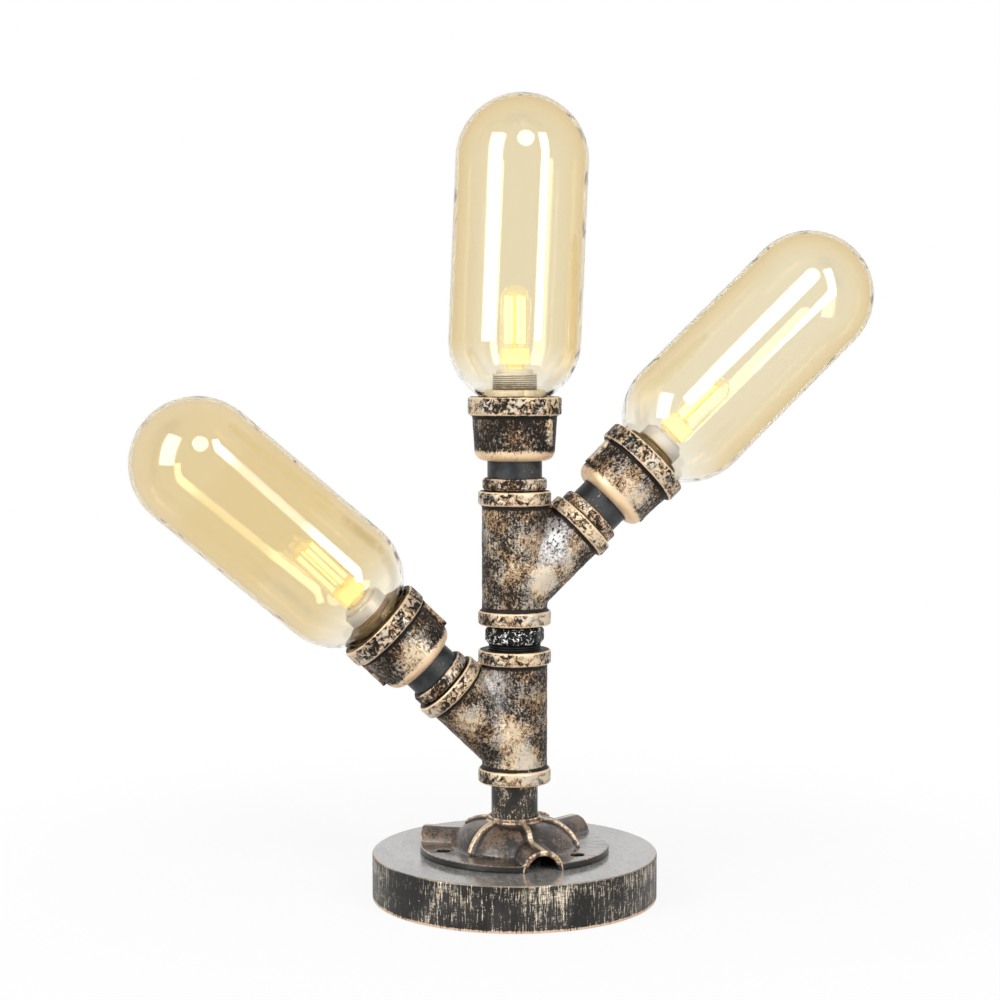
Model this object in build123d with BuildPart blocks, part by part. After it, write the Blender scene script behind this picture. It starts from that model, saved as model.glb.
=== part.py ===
from build123d import *
import math
import os

# Industrial pipe table lamp: three glass shades on a column of threaded pipe fittings that
# stands on a round weighted base. Millimetres, +Z up.
# Origin: centre of the pad's resting face. The two branch arms lie in the XZ plane, the
# lower one leaning to -X and the upper one to +X.
#
# Five bodies turn on one another, each on the thread of a pipe nipple:
#   base -> lower arm (about Z) -> upper arm (about Z), and one lamp head on the lower tee's
#   branch, one on the upper tee's branch and one on the upper tee's top.

# ------------------------------------------------------------------ fits
THREAD_FIT = 0.05          # radial play of a screwed joint that stays put
SWIVEL_FIT = 0.10          # radial play of a screwed joint that turns
SWIVEL_GAP = 0.30          # axial play between faces that turn on each other
LOOSE_FIT = 0.40           # radial play of parts that only drop in

# ------------------------------------------------------------------ base
BASE_RADIUS = 70.0
BASE_HEIGHT = 22.5         # table to the top face of the shell
SHELL_WALL = 1.5
SHELL_EDGE = 0.9
SHELL_LIFT = 0.4           # lower rim of the shell above the table
PAD_THICKNESS = 2.0
PAD_MARGIN = 1.0           # pad edge inside the shell's inner wall
PLATE_THICKNESS = 1.2

WEIGHT_CLEARANCE = 0.3     # underside of the ballast's disc above the bushing's inner flange
WEIGHT_SKIRT_Z = 5.0       # underside of the ballast's outer ring
WEIGHT_POCKET_RADIUS = 45.0

PLATE_SCREW_COUNT = 3
PLATE_SCREW_RADIUS = 2.0
PLATE_SCREW_HEAD_RADIUS = 3.6
PLATE_SCREW_HEAD_HEIGHT = 1.5
PLATE_SCREW_GRIP = 7.0     # thread length above the plate
PLATE_SCREW_SLOT = 0.9
PLATE_SCREW_SLOT_DEPTH = 0.7
SCREW_TIP_ROOM = 1.0       # hole beyond the screw's tip
BOSS_RADIUS = 6.5
BOSS_MARGIN = 5.6          # boss edge inside the ballast's edge

ENTRY_TURN = 153.5         # where the mains lead would enter, about Z from +X
ENTRY_Z = 9.6
ENTRY_BORE_RADIUS = 2.9
BUSHING_WALL = 0.8
BUSHING_FLANGE_RADIUS = 4.6
BUSHING_PROUD = 2.4        # outer flange beyond the shell
BUSHING_TAIL = 2.0         # inner flange behind the wall
BUSHING_EDGE = 0.8         # rounding of the outer flange

TERMINAL_LENGTH = 20.0
TERMINAL_WIDTH = 16.0
TERMINAL_HEIGHT = 8.0
TERMINAL_CIRCLE_RADIUS = 33.0     # centre of the block from the column
TERMINAL_POLE_PITCH = 8.0
TERMINAL_SCREW_RADIUS = 1.5
TERMINAL_SCREW_PITCH = 9.0
TERMINAL_SCREW_DEPTH = 4.0
TERMINAL_SLOT = 0.5

EARTH_TURN = 60.0
EARTH_CIRCLE_RADIUS = 31.0
EARTH_RING_RADIUS = 4.2
EARTH_RING_THICKNESS = 0.8
EARTH_SCREW_RADIUS = 2.0
EARTH_HEAD_RADIUS = 3.4
EARTH_HEAD_HEIGHT = 2.2
EARTH_COVER = 1.5          # ballast left above the earth screw's tip
EARTH_TIP_ROOM = 0.5
EARTH_BARREL_LENGTH = 9.0
EARTH_BARREL_RADIUS = 1.6

# ------------------------------------------------------------------ column
COLUMN_PIPE_RADIUS = 11.4
COLUMN_BORE_RADIUS = 8.4
COLUMN_FOOT_Z = 5.8        # lower end of the column nipple inside the base
WASHER_THICKNESS = 2.0
WASHER_RADIUS = 20.0
LOCKNUT_FLATS = 32.0
LOCKNUT_HEIGHT = 6.0
LOCKNUT_CHAMFER = 1.0

# ------------------------------------------------------------------ floor flange
FLANGE_RADIUS = 46.5
FLANGE_PLATE = 3.3
FLANGE_HEIGHT = 17.9       # shell top to the top of the hub
FLANGE_HUB_RADIUS = 13.2
FLANGE_HUB_BEAD = 2.4      # height of the straight ring at the top of the hub
FLANGE_HUB_EDGE = 0.6
FLANGE_DOME_RADIUS = 31.5  # foot of the dome on the plate
FLANGE_DOME_BULGE = 3.6    # how far the dome swells outside its chord
CHANNEL_TURNS = (-84.5, 35.5, 155.5)
CHANNEL_OUTER = 10.4
CHANNEL_INNER = 7.6
CHANNEL_START = 20.0       # inner end of the half-round channel
RIB_TURNS = (-144.5, -24.5, 95.5)
RIB_WIDTH = 2.4
RIB_PROUD = 1.5
SPUR_SHARE = 0.5           # short ribs above the channels: share of the dome's arc
BOLT_TURNS = (-48.5, 71.5, 191.5)
BOLT_CIRCLE_RADIUS = 37.5
BOLT_HOLE_RADIUS = 3.3

# ------------------------------------------------------------------ tees
TEE_BODY_RADIUS = 16.1
TEE_BRANCH_RADIUS = 15.5
TEE_BORE_RADIUS = 10.4
TEE_LENGTH = 65.5
TEE_BAND_RADIUS = 17.9
TEE_BAND_HEIGHT = 7.0
TEE_BAND_EDGE = 1.1
TEE_SOCKET_SPARE = 1.0     # socket beyond the pipe's end
CROTCH_ROUNDING = 0.21     # share of the run left above the crotch
BRANCH_ANGLE = 44.0        # branch axis above the horizontal
BRANCH_RISE = 16.5         # branch axis crosses the run this far above its lower face
BRANCH_LENGTH = 48.3       # crossing point to the branch face
LOWER_TEE_Z = 57.0

# Hexagon nipple between the tees
HEX_NECK_RADIUS = 12.7
HEX_BORE_RADIUS = 9.0
HEX_LOWER_NECK = 3.3       # bare thread below the hexagon
HEX_UPPER_NECK = 1.2       # bare thread above it
HEX_HEIGHT = 7.7
HEX_FLATS = 26.6
HEX_CORNER_RADIUS = 14.5   # the corners are turned down to this radius
HEX_EDGE = 1.3

# ------------------------------------------------------------------ lamp heads
HEAD_PIPE_RADIUS = 13.35
HEAD_BORE_RADIUS = 10.4
HEAD_PIPE_SHOWS = 8.4      # bare pipe between the lock ring and the cup
PIPE_ENGAGES = 11.5        # thread length inside each fitting
RING_RADIUS = 15.75
RING_HEIGHT = 6.0
RING_EDGE = 1.0

CUP_HEIGHT = 31.1
CUP_BAND_RADIUS = 22.9
CUP_BAND_HEIGHT = 9.1
CUP_BAND_EDGE = 1.2
CUP_NECK_RADIUS = 20.8     # body just under the band
CUP_WAIST_RADIUS = 19.3    # body where the lower rounding starts
CUP_ROUND = 5.2
CUP_MOUTH_RADIUS = 19.5
CUP_CHAMBER_RADIUS = 16.4
CUP_WEB = 2.5              # floor between the pipe socket and the chamber
CUP_SOCKET_SPARE = 0.5     # socket beyond the pipe's end
CUP_RIB_WIDTH = 3.6
CUP_RIB_RADIUS = 21.9
CUP_RIB_FOOT = 5.5         # lower end of the ribs above the cup's underside

SEAT_DEPTH = 6.5           # top of the seat disc below the cup's rim
SEAT_THICKNESS = 2.0

GLASS_RADIUS = 32.3
GLASS_LENGTH = 151.4
GLASS_WALL = 1.8
GLASS_SINK = 5.0           # lowest point of the round end below the cup's rim
GLASS_HOLE_RADIUS = 12.9
GASKET_WIDTH = 4.0
GASKET_PLAY = 0.05

SLEEVE_RADIUS = 11.0
SLEEVE_WALL = 1.9
SLEEVE_TOP = 11.2          # above the cup's rim
SLEEVE_FLANGE_RADIUS = 14.6
SLEEVE_FLANGE = 1.6
SLEEVE_TAIL = 5.0          # below its flange
SLEEVE_LIP = 1.4
SLEEVE_LIP_HEIGHT = 1.4
CLAMP_RADIUS = 14.8
CLAMP_HEIGHT = 2.6
CLAMP_NOTCH = 2.6

HOLDER_TOP = 13.2          # ceramic's top face above the cup's rim
HOLDER_PLAY = 0.1
HOLDER_SLOT_PITCH = 9.0    # G9 pins
HOLDER_SLOT_LENGTH = 3.0
HOLDER_SLOT_WIDTH = 1.8
HOLDER_SLOT_DEPTH = 12.0
HOLDER_EDGE = 0.6

BULB_NECK_WIDTH = 7.4
BULB_NECK_DEPTH = 5.0
BULB_NECK_HEIGHT = 2.4
BULB_BASE_WIDTH = 13.8
BULB_BASE_DEPTH = 9.6
BULB_BASE_HEIGHT = 7.6
BULB_CORNER = 2.0
BULB_PIN_RADIUS = 0.7
BULB_PIN_LENGTH = 9.0
BULB_RADIUS = 7.2
BULB_WALL = 0.7
BULB_HEIGHT = 31.0
FILAMENT_COUNT = 4
FILAMENT_CIRCLE_RADIUS = 4.5
FILAMENT_RADIUS = 0.8
FILAMENT_LENGTH = 23.0
FILAMENT_FOOT = 2.4        # bulb base to the lower end of the filaments
STEM_RADIUS = 1.1
STEM_TIP = 1.0             # stem beyond the filaments' upper ends
HANGER_RADIUS = 0.35

WIRE_RADIUS = 0.9
WIRE_SPACING = 3.0
LEAD_GAP = 1.5             # between the ends of leads on different bodies
LEAD_STRIP = 1.4           # how far the leads enter and leave the terminal block
LEAD_LIFT = 0.1            # leads above the bottom plate
CUT_PAST = 1.0             # how far a cut runs out of the solid

# ------------------------------------------------------------------ worked out from the above
SHELL_INNER_RADIUS = BASE_RADIUS - SHELL_WALL
SHELL_CEILING = BASE_HEIGHT - SHELL_WALL
PAD_RADIUS = SHELL_INNER_RADIUS - PAD_MARGIN
PLATE_TOP = PAD_THICKNESS + PLATE_THICKNESS
WEIGHT_RADIUS = SHELL_INNER_RADIUS - LOOSE_FIT
WEIGHT_FLOOR = ENTRY_Z + BUSHING_FLANGE_RADIUS + WEIGHT_CLEARANCE
PLATE_SCREW_CIRCLE_RADIUS = WEIGHT_RADIUS - BOSS_RADIUS - BOSS_MARGIN
PLATE_SCREW_TURN = ENTRY_TURN + 180 / PLATE_SCREW_COUNT
EARTH_THREAD = SHELL_CEILING - WEIGHT_FLOOR - EARTH_COVER
HUB_TOP = BASE_HEIGHT + FLANGE_HEIGHT
COLUMN_HOLE_RADIUS = COLUMN_PIPE_RADIUS + THREAD_FIT

LOWER_TEE_TOP = LOWER_TEE_Z + TEE_LENGTH
HEX_Z = LOWER_TEE_TOP + HEX_LOWER_NECK
UPPER_TEE_Z = HEX_Z + HEX_HEIGHT + HEX_UPPER_NECK
UPPER_TEE_TOP = UPPER_TEE_Z + TEE_LENGTH
COLUMN_HEAD_Z = LOWER_TEE_Z + PIPE_ENGAGES
TEE_SOCKET_DEPTH = PIPE_ENGAGES + TEE_SOCKET_SPARE
CUP_SOCKET_DEPTH = PIPE_ENGAGES + CUP_SOCKET_SPARE

RING_START = SWIVEL_GAP
CUP_START = RING_START + RING_HEIGHT + HEAD_PIPE_SHOWS
CUP_RIM = CUP_START + CUP_HEIGHT
SEAT_TOP = CUP_RIM - SEAT_DEPTH
SEAT_FLOOR = SEAT_TOP - SEAT_THICKNESS
GLASS_CENTRE = CUP_RIM - GLASS_SINK + GLASS_RADIUS
GLASS_STRAIGHT = GLASS_LENGTH - 2 * GLASS_RADIUS
HOLDER_RADIUS = SLEEVE_RADIUS - SLEEVE_WALL - HOLDER_PLAY
SLEEVE_FLANGE_Z = SEAT_FLOOR - SLEEVE_FLANGE
SLEEVE_FOOT = SLEEVE_FLANGE_Z - SLEEVE_TAIL
HOLDER_FOOT = SLEEVE_FOOT + SLEEVE_LIP_HEIGHT
BULB_FOOT = CUP_RIM + HOLDER_TOP
BULB_BASE_TOP = BULB_FOOT + BULB_NECK_HEIGHT + BULB_BASE_HEIGHT

RISE = math.sin(math.radians(BRANCH_ANGLE))
REACH = math.cos(math.radians(BRANCH_ANGLE))
CROTCH_RISE = BRANCH_RISE + (TEE_BODY_RADIUS * RISE + TEE_BRANCH_RADIUS) / REACH
TEE_CROTCH_FILLET = CROTCH_ROUNDING * (TEE_LENGTH - CROTCH_RISE)


def branch_frame(side, tee_z):
    """Plane on a tee's branch axis where it crosses the run; side is -1 or +1 along X."""
    return Plane(
        origin=(0, 0, tee_z + BRANCH_RISE),
        x_dir=(-side * RISE, 0, REACH),
        z_dir=(side * REACH, 0, RISE),
    )


def section(frame):
    """Plane through a frame's axis: x is the radius and y runs along the axis."""
    return Plane(origin=frame.origin, x_dir=frame.x_dir, z_dir=-frame.y_dir)


def spin(frame):
    """Axis that the profiles on section(frame) are turned about."""
    return Axis(frame.origin, frame.z_dir)


def radial_frame(turn, height):
    """Plane whose normal points outwards from the column at an angle about Z."""
    angle = math.radians(turn)
    outwards = (math.cos(angle), math.sin(angle), 0)
    return Plane(origin=(0, 0, height), x_dir=(-math.sin(angle), math.cos(angle), 0), z_dir=outwards)


def turned_plane(turn, height):
    """Level plane at a height whose x axis points at an angle about Z."""
    angle = math.radians(turn)
    return Plane(origin=(0, 0, height), x_dir=(math.cos(angle), math.sin(angle), 0), z_dir=(0, 0, 1))


lower_branch = branch_frame(-1, LOWER_TEE_Z)
upper_branch = branch_frame(1, UPPER_TEE_Z)

# Each head: frame on the face of the fitting that carries it, the lean of its glass in the
# XZ plane (positive towards the frame's x axis), and the turn of its cup's ribs.
HEADS = {
    "left": (lower_branch.offset(BRANCH_LENGTH), -3.2, -10.0),
    "right": (upper_branch.offset(BRANCH_LENGTH), 0.0, 12.0),
    "top": (Plane.XY.offset(UPPER_TEE_TOP), 2.4, -48.5),
}

os.makedirs("parts", exist_ok=True)


def save(builder, name):
    """Label a finished piece and write its STEP file."""
    builder.part.label = name
    export_step(builder.part, f"parts/{name}.step")


# ------------------------------------------------------------------ base pieces
with BuildPart() as base_pad:
    with BuildSketch(Plane.XY):
        Circle(PAD_RADIUS)
        with PolarLocations(PLATE_SCREW_CIRCLE_RADIUS, PLATE_SCREW_COUNT, PLATE_SCREW_TURN):
            Circle(PLATE_SCREW_HEAD_RADIUS + LOOSE_FIT, mode=Mode.SUBTRACT)
    extrude(amount=PAD_THICKNESS)
save(base_pad, "base_pad")

with BuildPart() as bottom_plate:
    with BuildSketch(Plane.XY.offset(PAD_THICKNESS)):
        Circle(SHELL_INNER_RADIUS - LOOSE_FIT)
        with PolarLocations(PLATE_SCREW_CIRCLE_RADIUS, PLATE_SCREW_COUNT, PLATE_SCREW_TURN):
            Circle(PLATE_SCREW_RADIUS + LOOSE_FIT, mode=Mode.SUBTRACT)
    extrude(amount=PLATE_THICKNESS)
save(bottom_plate, "bottom_plate")

with BuildPart() as plate_screws:
    with BuildSketch(Plane.XY.offset(PAD_THICKNESS - PLATE_SCREW_HEAD_HEIGHT)):
        with PolarLocations(PLATE_SCREW_CIRCLE_RADIUS, PLATE_SCREW_COUNT, PLATE_SCREW_TURN):
            Circle(PLATE_SCREW_HEAD_RADIUS)
    extrude(amount=PLATE_SCREW_HEAD_HEIGHT)
    with BuildSketch(Plane.XY.offset(PAD_THICKNESS)):
        with PolarLocations(PLATE_SCREW_CIRCLE_RADIUS, PLATE_SCREW_COUNT, PLATE_SCREW_TURN):
            Circle(PLATE_SCREW_RADIUS)
    extrude(amount=PLATE_THICKNESS + PLATE_SCREW_GRIP)
    with BuildSketch(Plane.XY.offset(PAD_THICKNESS - PLATE_SCREW_HEAD_HEIGHT)):
        with PolarLocations(PLATE_SCREW_CIRCLE_RADIUS, PLATE_SCREW_COUNT, PLATE_SCREW_TURN):
            Rectangle(2 * PLATE_SCREW_HEAD_RADIUS, PLATE_SCREW_SLOT)
            Rectangle(PLATE_SCREW_SLOT, 2 * PLATE_SCREW_HEAD_RADIUS)
    extrude(amount=PLATE_SCREW_SLOT_DEPTH, mode=Mode.SUBTRACT)
save(plate_screws, "plate_screws")

with BuildPart() as base_shell:
    with BuildSketch(Plane.XY.offset(SHELL_LIFT)):
        Circle(BASE_RADIUS)
    extrude(amount=BASE_HEIGHT - SHELL_LIFT)
    fillet(base_shell.edges().group_by(Axis.Z)[-1], SHELL_EDGE)
    with BuildSketch(Plane.XY.offset(SHELL_LIFT)):
        Circle(SHELL_INNER_RADIUS)
    extrude(amount=SHELL_CEILING - SHELL_LIFT, mode=Mode.SUBTRACT)
    with BuildSketch(Plane.XY.offset(SHELL_CEILING)):
        Circle(COLUMN_HOLE_RADIUS)
    extrude(amount=SHELL_WALL, mode=Mode.SUBTRACT)
    with BuildSketch(radial_frame(ENTRY_TURN, ENTRY_Z).offset(WEIGHT_RADIUS)):
        Circle(ENTRY_BORE_RADIUS + BUSHING_WALL)
    extrude(amount=2 * SHELL_WALL, mode=Mode.SUBTRACT)
save(base_shell, "base_shell")

with BuildPart() as base_weight:
    with BuildSketch(Plane.XY.offset(WEIGHT_SKIRT_Z)):
        Circle(WEIGHT_RADIUS)
    extrude(amount=SHELL_CEILING - WEIGHT_SKIRT_Z)
    with BuildSketch(Plane.XY.offset(PLATE_TOP)):
        with PolarLocations(PLATE_SCREW_CIRCLE_RADIUS, PLATE_SCREW_COUNT, PLATE_SCREW_TURN):
            Circle(BOSS_RADIUS)
    extrude(amount=WEIGHT_FLOOR - PLATE_TOP)
    with BuildSketch(Plane.XY.offset(WEIGHT_SKIRT_Z)):
        Circle(WEIGHT_POCKET_RADIUS)
    extrude(amount=WEIGHT_FLOOR - WEIGHT_SKIRT_Z, mode=Mode.SUBTRACT)
    with BuildSketch(turned_plane(ENTRY_TURN, WEIGHT_SKIRT_Z)):
        with Locations((WEIGHT_RADIUS / 2, 0)):
            Rectangle(WEIGHT_RADIUS, 2 * (BUSHING_FLANGE_RADIUS + LOOSE_FIT))
    extrude(amount=WEIGHT_FLOOR - WEIGHT_SKIRT_Z, mode=Mode.SUBTRACT)
    with BuildSketch(Plane.XY.offset(WEIGHT_FLOOR)):
        Circle(COLUMN_HOLE_RADIUS)
    extrude(amount=SHELL_CEILING - WEIGHT_FLOOR, mode=Mode.SUBTRACT)
    with BuildSketch(Plane.XY.offset(PLATE_TOP)):
        with PolarLocations(PLATE_SCREW_CIRCLE_RADIUS, PLATE_SCREW_COUNT, PLATE_SCREW_TURN):
            Circle(PLATE_SCREW_RADIUS + THREAD_FIT)
    extrude(amount=PLATE_SCREW_GRIP + SCREW_TIP_ROOM, mode=Mode.SUBTRACT)
    with BuildSketch(turned_plane(EARTH_TURN, WEIGHT_FLOOR)):
        with Locations((EARTH_CIRCLE_RADIUS, 0)):
            Circle(EARTH_SCREW_RADIUS + THREAD_FIT)
    extrude(amount=EARTH_THREAD + EARTH_TIP_ROOM, mode=Mode.SUBTRACT)
save(base_weight, "base_weight")

with BuildPart() as cord_bushing:
    entry = radial_frame(ENTRY_TURN, ENTRY_Z)
    with BuildSketch(entry.offset(SHELL_INNER_RADIUS - BUSHING_TAIL)):
        Circle(BUSHING_FLANGE_RADIUS)
    extrude(amount=BUSHING_TAIL - LOOSE_FIT)
    with BuildSketch(entry.offset(SHELL_INNER_RADIUS - BUSHING_TAIL)):
        Circle(ENTRY_BORE_RADIUS + BUSHING_WALL - THREAD_FIT)
    extrude(amount=BUSHING_TAIL + SHELL_WALL + BUSHING_PROUD)
    with BuildSketch(entry.offset(BASE_RADIUS + THREAD_FIT)):
        Circle(BUSHING_FLANGE_RADIUS)
    extrude(amount=BUSHING_PROUD - THREAD_FIT)
    rims = cord_bushing.edges().filter_by(GeomType.CIRCLE).sort_by(Axis(entry.origin, entry.z_dir))
    fillet(rims[-1], BUSHING_EDGE)
    with BuildSketch(entry.offset(SHELL_INNER_RADIUS - BUSHING_TAIL)):
        Circle(ENTRY_BORE_RADIUS)
    extrude(amount=BUSHING_TAIL + SHELL_WALL + BUSHING_PROUD, mode=Mode.SUBTRACT)
save(cord_bushing, "cord_bushing")

terminal_screw_z = WEIGHT_FLOOR - TERMINAL_HEIGHT
terminal_spots = [
    (TERMINAL_CIRCLE_RADIUS + along * TERMINAL_SCREW_PITCH / 2, across * TERMINAL_POLE_PITCH / 2)
    for along in (-1, 1)
    for across in (-1, 1)
]

with BuildPart() as terminal_block:
    with BuildSketch(turned_plane(ENTRY_TURN, terminal_screw_z)):
        with Locations((TERMINAL_CIRCLE_RADIUS, 0)):
            Rectangle(TERMINAL_LENGTH, TERMINAL_WIDTH)
    extrude(amount=TERMINAL_HEIGHT)
    with BuildSketch(turned_plane(ENTRY_TURN, terminal_screw_z)):
        with Locations(*terminal_spots):
            Circle(TERMINAL_SCREW_RADIUS + THREAD_FIT)
    extrude(amount=TERMINAL_SCREW_DEPTH, mode=Mode.SUBTRACT)
    with BuildSketch(radial_frame(ENTRY_TURN, terminal_screw_z + TERMINAL_SCREW_DEPTH)):
        with Locations((-TERMINAL_POLE_PITCH / 2, 0), (TERMINAL_POLE_PITCH / 2, 0)):
            Circle(WIRE_RADIUS + LOOSE_FIT)
    extrude(amount=TERMINAL_CIRCLE_RADIUS + TERMINAL_LENGTH, mode=Mode.SUBTRACT)
save(terminal_block, "terminal_block")

with BuildPart() as terminal_screws:
    with BuildSketch(turned_plane(ENTRY_TURN, terminal_screw_z)):
        with Locations(*terminal_spots):
            Circle(TERMINAL_SCREW_RADIUS)
            Rectangle(2 * TERMINAL_SCREW_RADIUS, TERMINAL_SLOT, mode=Mode.SUBTRACT)
    extrude(amount=TERMINAL_SLOT)
    with BuildSketch(turned_plane(ENTRY_TURN, terminal_screw_z + TERMINAL_SLOT)):
        with Locations(*terminal_spots):
            Circle(TERMINAL_SCREW_RADIUS)
    extrude(amount=TERMINAL_SCREW_DEPTH - TERMINAL_SLOT - WIRE_RADIUS - LOOSE_FIT)
save(terminal_screws, "terminal_screws")

with BuildPart() as earth_terminal:
    earth_plane = turned_plane(EARTH_TURN, WEIGHT_FLOOR - EARTH_RING_THICKNESS)
    with BuildSketch(earth_plane):
        with Locations((EARTH_CIRCLE_RADIUS, 0)):
            Circle(EARTH_RING_RADIUS)
    extrude(amount=EARTH_RING_THICKNESS)
    with BuildSketch(earth_plane):
        with Locations((EARTH_CIRCLE_RADIUS - EARTH_BARREL_LENGTH / 2, 0)):
            Rectangle(EARTH_BARREL_LENGTH, 2 * EARTH_BARREL_RADIUS)
    extrude(amount=EARTH_RING_THICKNESS)
    with BuildSketch(earth_plane.offset(-EARTH_HEAD_HEIGHT)):
        with Locations((EARTH_CIRCLE_RADIUS, 0)):
            Circle(EARTH_HEAD_RADIUS)
    extrude(amount=EARTH_HEAD_HEIGHT)
    with BuildSketch(earth_plane):
        with Locations((EARTH_CIRCLE_RADIUS, 0)):
            Circle(EARTH_SCREW_RADIUS)
    extrude(amount=EARTH_RING_THICKNESS + EARTH_THREAD)
save(earth_terminal, "earth_terminal")

# Two leads from the terminal block, under the locknut and up the column's bore.
with BuildPart() as base_leads:
    lead_frame = turned_plane(ENTRY_TURN, 0)
    lead_floor = PLATE_TOP + WIRE_RADIUS + LEAD_LIFT
    block_end = TERMINAL_CIRCLE_RADIUS - TERMINAL_LENGTH / 2
    for pole in (-1, 1):
        across = pole * TERMINAL_POLE_PITCH / 2
        core = pole * WIRE_SPACING / 2
        corners = [
            (block_end + LEAD_STRIP, across, terminal_screw_z + TERMINAL_SCREW_DEPTH),
            (block_end - LEAD_STRIP, across, terminal_screw_z + TERMINAL_SCREW_DEPTH),
            (block_end - LEAD_STRIP, across, lead_floor),
            (0, core, lead_floor),
            (0, core, COLUMN_HEAD_Z),
        ]
        with BuildLine() as route:
            Polyline(*[lead_frame.from_local_coords(corner) for corner in corners])
        first = route.line.edges()[0]
        with BuildSketch(Plane(origin=first @ 0, z_dir=first % 0)):
            Circle(WIRE_RADIUS)
        sweep(path=route.line, transition=Transition.RIGHT)
save(base_leads, "base_leads")

with BuildPart() as column_washer:
    with BuildSketch(Plane.XY.offset(WEIGHT_FLOOR - WASHER_THICKNESS)):
        Circle(WASHER_RADIUS)
        Circle(COLUMN_PIPE_RADIUS + LOOSE_FIT, mode=Mode.SUBTRACT)
    extrude(amount=WASHER_THICKNESS)
save(column_washer, "column_washer")

with BuildPart() as column_locknut:
    locknut_z = WEIGHT_FLOOR - WASHER_THICKNESS - LOCKNUT_HEIGHT
    with BuildSketch(Plane.XY.offset(locknut_z)):
        RegularPolygon(LOCKNUT_FLATS / 2, 6, major_radius=False)
    extrude(amount=LOCKNUT_HEIGHT)
    chamfer(column_locknut.edges().group_by(Axis.Z)[0], LOCKNUT_CHAMFER)
    with BuildSketch(Plane.XY.offset(locknut_z)):
        Circle(COLUMN_HOLE_RADIUS)
    extrude(amount=LOCKNUT_HEIGHT, mode=Mode.SUBTRACT)
save(column_locknut, "column_locknut")

with BuildPart() as column_nipple:
    with BuildSketch(Plane.XY.offset(COLUMN_FOOT_Z)):
        Circle(COLUMN_PIPE_RADIUS)
        Circle(COLUMN_BORE_RADIUS, mode=Mode.SUBTRACT)
    extrude(amount=COLUMN_HEAD_Z - COLUMN_FOOT_Z)
save(column_nipple, "column_nipple")

# ------------------------------------------------------------------ floor flange
hub_shoulder = HUB_TOP - FLANGE_HUB_BEAD
plate_face = BASE_HEIGHT + FLANGE_PLATE
dome_run = FLANGE_DOME_RADIUS - FLANGE_HUB_RADIUS
dome_drop = hub_shoulder - plate_face
chord_half = math.hypot(dome_run, dome_drop) / 2
dome_arc = (chord_half**2 + FLANGE_DOME_BULGE**2) / (2 * FLANGE_DOME_BULGE)
centre_back = (dome_arc - FLANGE_DOME_BULGE) / (2 * chord_half)
dome_centre = (
    FLANGE_HUB_RADIUS + dome_run / 2 - dome_drop * centre_back,
    plate_face + dome_drop / 2 - dome_run * centre_back,
)
hub_angle = math.degrees(math.atan2(hub_shoulder - dome_centre[1], FLANGE_HUB_RADIUS - dome_centre[0]))
foot_angle = math.degrees(math.atan2(plate_face - dome_centre[1], FLANGE_DOME_RADIUS - dome_centre[0]))


def rib_outline(turn, share):
    """Side outline of a radial rib that follows a share of the dome's arc, proud of it."""
    with BuildSketch(section(turned_plane(turn, 0))) as outline:
        with BuildLine():
            crest = CenterArc(dome_centre, dome_arc + RIB_PROUD, hub_angle, share * (foot_angle - hub_angle))
            Polyline(crest @ 1, ((crest @ 1).X, BASE_HEIGHT), ((crest @ 0).X, BASE_HEIGHT), crest @ 0)
        make_face()
    return outline.sketch


with BuildPart() as floor_flange:
    with BuildSketch(section(Plane.XY)):
        with BuildLine():
            Polyline(
                (FLANGE_DOME_RADIUS, plate_face),
                (FLANGE_RADIUS, plate_face),
                (FLANGE_RADIUS, BASE_HEIGHT),
                (COLUMN_HOLE_RADIUS, BASE_HEIGHT),
                (COLUMN_HOLE_RADIUS, HUB_TOP),
                (FLANGE_HUB_RADIUS - FLANGE_HUB_EDGE, HUB_TOP),
                (FLANGE_HUB_RADIUS, HUB_TOP - FLANGE_HUB_EDGE),
                (FLANGE_HUB_RADIUS, hub_shoulder),
            )
            CenterArc(dome_centre, dome_arc, hub_angle, foot_angle - hub_angle)
        make_face()
    revolve(axis=Axis.Z)
    for turn in CHANNEL_TURNS:
        with BuildSketch(radial_frame(turn, BASE_HEIGHT).offset(CHANNEL_START)):
            Circle(CHANNEL_OUTER)
            with Locations((0, -CHANNEL_OUTER)):
                Rectangle(2 * CHANNEL_OUTER, 2 * CHANNEL_OUTER, mode=Mode.SUBTRACT)
        extrude(amount=FLANGE_RADIUS - CHANNEL_START)
    for turn in RIB_TURNS:
        extrude(rib_outline(turn, 1.0), amount=RIB_WIDTH / 2, both=True)
    for turn in CHANNEL_TURNS:
        extrude(rib_outline(turn, SPUR_SHARE), amount=RIB_WIDTH / 2, both=True)
    with BuildSketch(Plane.XY.offset(BASE_HEIGHT)):
        Circle(FLANGE_RADIUS)
    extrude(amount=FLANGE_HEIGHT, mode=Mode.INTERSECT)
    for turn in CHANNEL_TURNS:
        with BuildSketch(radial_frame(turn, BASE_HEIGHT).offset(CHANNEL_START)):
            Circle(CHANNEL_INNER)
        extrude(amount=FLANGE_RADIUS - CHANNEL_START + CUT_PAST, mode=Mode.SUBTRACT)
    with BuildSketch(Plane.XY.offset(BASE_HEIGHT)):
        for turn in BOLT_TURNS:
            angle = math.radians(turn)
            with Locations((BOLT_CIRCLE_RADIUS * math.cos(angle), BOLT_CIRCLE_RADIUS * math.sin(angle))):
                Circle(BOLT_HOLE_RADIUS)
    extrude(amount=FLANGE_HEIGHT, mode=Mode.SUBTRACT)
save(floor_flange, "floor_flange")


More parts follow.
